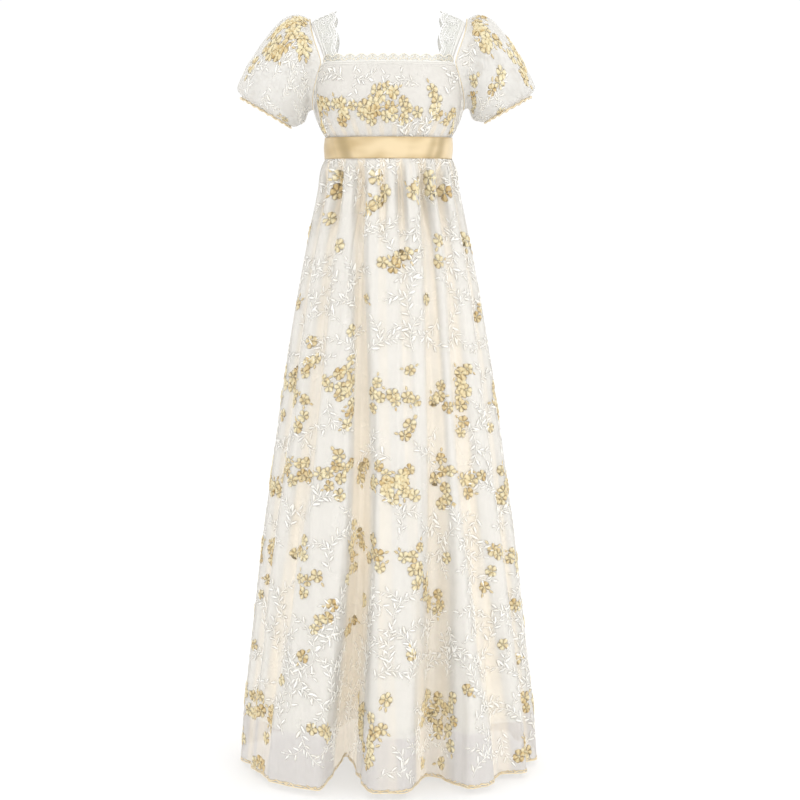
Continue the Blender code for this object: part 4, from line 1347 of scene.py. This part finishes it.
def loopsAt(cloth, items, radius, count=12):
    share, down, turn, start, length, width = np.array(items, float).T[:, :, None]
    swing = np.linspace(0, 2 * math.pi, count, endpoint=False)[None]
    along = start + length * (0.5 - 0.5 * np.cos(swing))
    across = width * np.sin(swing)
    placeDown = down + np.sin(turn) * along + np.cos(turn) * across
    placeShare = share + (np.cos(turn) * along - np.sin(turn) * across) / lengthAt(cloth, placeDown)
    return clothCords(cloth, np.clip(placeShare, 0.004, 0.996), placeDown, radius, sides=4, closed=True)


def laceDown(cloth, turn):
    row = 1 + (turn + 90) / 180 * shoulder["laceRows"]
    return float(np.interp(row, np.arange(len(cloth["down"])), cloth["down"]))


for label in sleeve["sides"]:
    cloth = cloths["Lace" + label]
    line = np.linspace(0.002, cloth["down"][-1] - 0.002, 240)
    parts = [clothCords(cloth, np.full(240, share), line, radius) for share, radius in laceWork["lines"]]
    for share, swing in laceWork["vines"]:
        wave = share + swing * np.sin(line / laceWork["vineLength"])
        parts.append(clothCords(cloth, wave, line, laceWork["cord"]))
    loops = []
    knots = []
    for step in range(-2, 3):
        down = laceDown(cloth, step * 30)
        for index in range(laceWork["petals"]):
            turn = index * 2 * math.pi / laceWork["petals"] + 0.3 * step
            loops.append((0.52, down, turn, 0.0022, laceWork["petalLength"], laceWork["petalWidth"]))
        knots.append((0.52, down, 0.0, -0.0018, 0.0036, 0.0018, 0.0010, 0.0))
        place = laceDown(cloth, step * 30 + 15)
        for across in (0.30, 0.75, 0.50):
            knots.append((across, place, 1.57, -0.002, 0.0042, 0.0011, 0.0007, 0.1))
        for index in range(-3, 4):
            place = laceDown(cloth, step * 30 + index * 4.2)
            loops.append((0.07, place, math.pi, -0.0012, 0.0026, 0.0011))
    parts += [loopsAt(cloth, loops, laceWork["cord"]),
              stitchedShapes(cloth, "knot", knots, embroidery["lift"])]
    trims["shoulderLace" + label] = [meshPiece("laceCords" + label, parts, "laceCord")]

cloth = cloths["NeckLace"]
count = neckLace["scallops"] * 14
share = np.linspace(0.004, 0.996, count)
parts = [clothCords(cloth, share, np.full(count, down), radius) for down, radius in laceWork["neckLines"]]
loops = []
knots = []
for index in range(neckLace["scallops"]):
    centre = (index + 0.5) / neckLace["scallops"]
    loops.append((centre, 0.0056, 0.0, -0.0030, 0.0060, 0.0029))
    for side in (-1, 1):
        loops.append((centre + side * 0.32 / neckLace["scallops"], 0.0070, 1.57, -0.0016, 0.0032, 0.0014))
    knots.append((centre, 0.0056, 0.0, -0.0013, 0.0026, 0.0013, 0.0009, 0.0))
parts += [loopsAt(cloth, loops, laceWork["neckLoop"], 10),
          stitchedShapes(cloth, "knot", knots, embroidery["lift"])]
trims["neckLace"] = [meshPiece("laceCordsNeck", parts, "neckCord")]

border = {
    "step": 0.0046,
    "size": 0.0095,
    "rise": 0.0036,
    "height": 0.0010,
    "thread": 0.0010,
    "seam": 0.0007,
    "liningEdge": 0.0016,
    "sleeve": 0.6,  # size on the cuffs
}


def edgeThread(cloth, where, radius, sides, closed=False, lift=0.0):
    line = cloth["points"][where] + np.array((0, 0, lift))
    return roundCords(line[None], cloth["normals"][where][None], radius, sides=sides, closed=closed)


for label in ("SkirtFront", "SkirtBack", "SleeveLeft", "SleeveRight"):
    cloth = cloths[label]
    isSleeve = cloth["wrap"]
    small = border["sleeve"] if isSleeve else 1.0
    used = slice(None, -1 if isSleeve else None)
    parts = [edgeThread(cloth, (-1, used), border["thread"], 6, isSleeve, 0.0006)]
    if isSleeve:
        parts.append(edgeThread(cloth, (0, used), border["seam"], 5, True))
    stitches = []
    for index in range(int(cloth["lengths"][-1] / border["step"] / small)):
        share = (index + random.uniform(0.3, 0.7)) * border["step"] * small / cloth["lengths"][-1]
        size = border["size"] * small * random.uniform(0.7, 1.2)
        rise = border["rise"] * small * random.uniform(0.7, 1.6)
        stitches.append((share, cloth["down"][-1] - rise, random.uniform(-0.5, 0.5), -size / 2, size,
                         size * 0.17, border["height"], random.uniform(-0.4, 0.5)))
    parts.append(stitchedShapes(cloth, "leaf", stitches, embroidery["lift"]))
    trims["net" + label].append(meshPiece("hemThreads" + label, parts, "hemThread"))

for label in ("SkirtFront", "SkirtBack"):
    parts = [edgeThread(cloths["Lining" + label], -1, border["liningEdge"], 6)]
    trims["lining" + label] = [meshPiece("hemThreadsLining" + label, parts, "laceCord")]

for label in ("SkirtFront", "BodiceFront"):
    parts = [edgeThread(cloths[label], (slice(None), column), border["seam"], 5) for column in (0, -1)]
    trims["net" + label].append(meshPiece("seamThreads" + label, parts, "laceCord"))
print("lace cords and seams made")

# Camera, light and floor
camera = {"place": (0.022, -3.9, -0.3663), "pitch": 5.59, "lens": 91.1}
cameraData = bpy.data.cameras.new("camera")
cameraData.lens = camera["lens"]
cameraData.sensor_width = 36.0
cameraData.clip_end = 200.0
cameraObject = bpy.data.objects.new("camera", cameraData)
cameraObject.location = camera["place"]
cameraObject.rotation_euler = (math.radians(90 - camera["pitch"]), 0.0, 0.0)
bpy.context.scene.collection.objects.link(cameraObject)
bpy.context.scene.camera = cameraObject

# place, size, power; each faces the middle of the gown
lamps = {
    "keyLight": ((2.6, -3.2, 1.6), 1.8, 29.0),
    "leftLight": ((-3.2, -2.2, 0.6), 2.6, 1.5),
    "backLight": ((0.5, 3.6, 1.4), 2.6, 20.0),
}
for name, (place, size, power) in lamps.items():
    lampData = bpy.data.lights.new(name, "AREA")
    lampData.size = size
    lampData.energy = power
    lamp = bpy.data.objects.new(name, lampData)
    lamp.location = place
    toward = np.array((0.0, 0.0, -0.7)) - np.array(place)
    lamp.rotation_euler = (math.acos(toward[2] / -np.linalg.norm(toward)), 0.0,
                           math.atan2(toward[1], toward[0]) - math.pi / 2)
    bpy.context.scene.collection.objects.link(lamp)

world = bpy.data.worlds.new("studio")
bpy.context.scene.world = world
world.use_nodes = True
tree = world.node_tree
background = tree.nodes["Background"]
background.inputs["Color"].default_value = (1.0, 1.0, 1.0, 1.0)
path = put(tree, "ShaderNodeLightPath")
strength = ranged(tree, path.outputs["Is Camera Ray"], target=(1.16, 1.03))
tree.links.new(strength, background.inputs["Strength"])

bpy.ops.object.select_all(action="DESELECT")
bpy.ops.mesh.primitive_plane_add(size=120, location=(0, 0, gown["hem"] - 0.012))
floor = bpy.context.object
floor.name = "floor"
floorLook = bpy.data.materials.new("paleFloor")
floorLook.use_nodes = True
paleFloor = {"Base Color": (0.80, 0.80, 0.80, 1), "Roughness": 0.8, "Specular IOR Level": 0.1,
             "Emission Color": (1.0, 1.0, 1.0, 1.0), "Emission Strength": 0.15}
for socket, value in paleFloor.items():
    floorLook.node_tree.nodes["Principled BSDF"].inputs[socket].default_value = value
floor.data.materials.append(floorLook)

bpy.context.scene.view_settings.view_transform = "Standard"
bpy.context.scene.view_settings.look = "None"

print("triangles:", sum(triangles.values()))
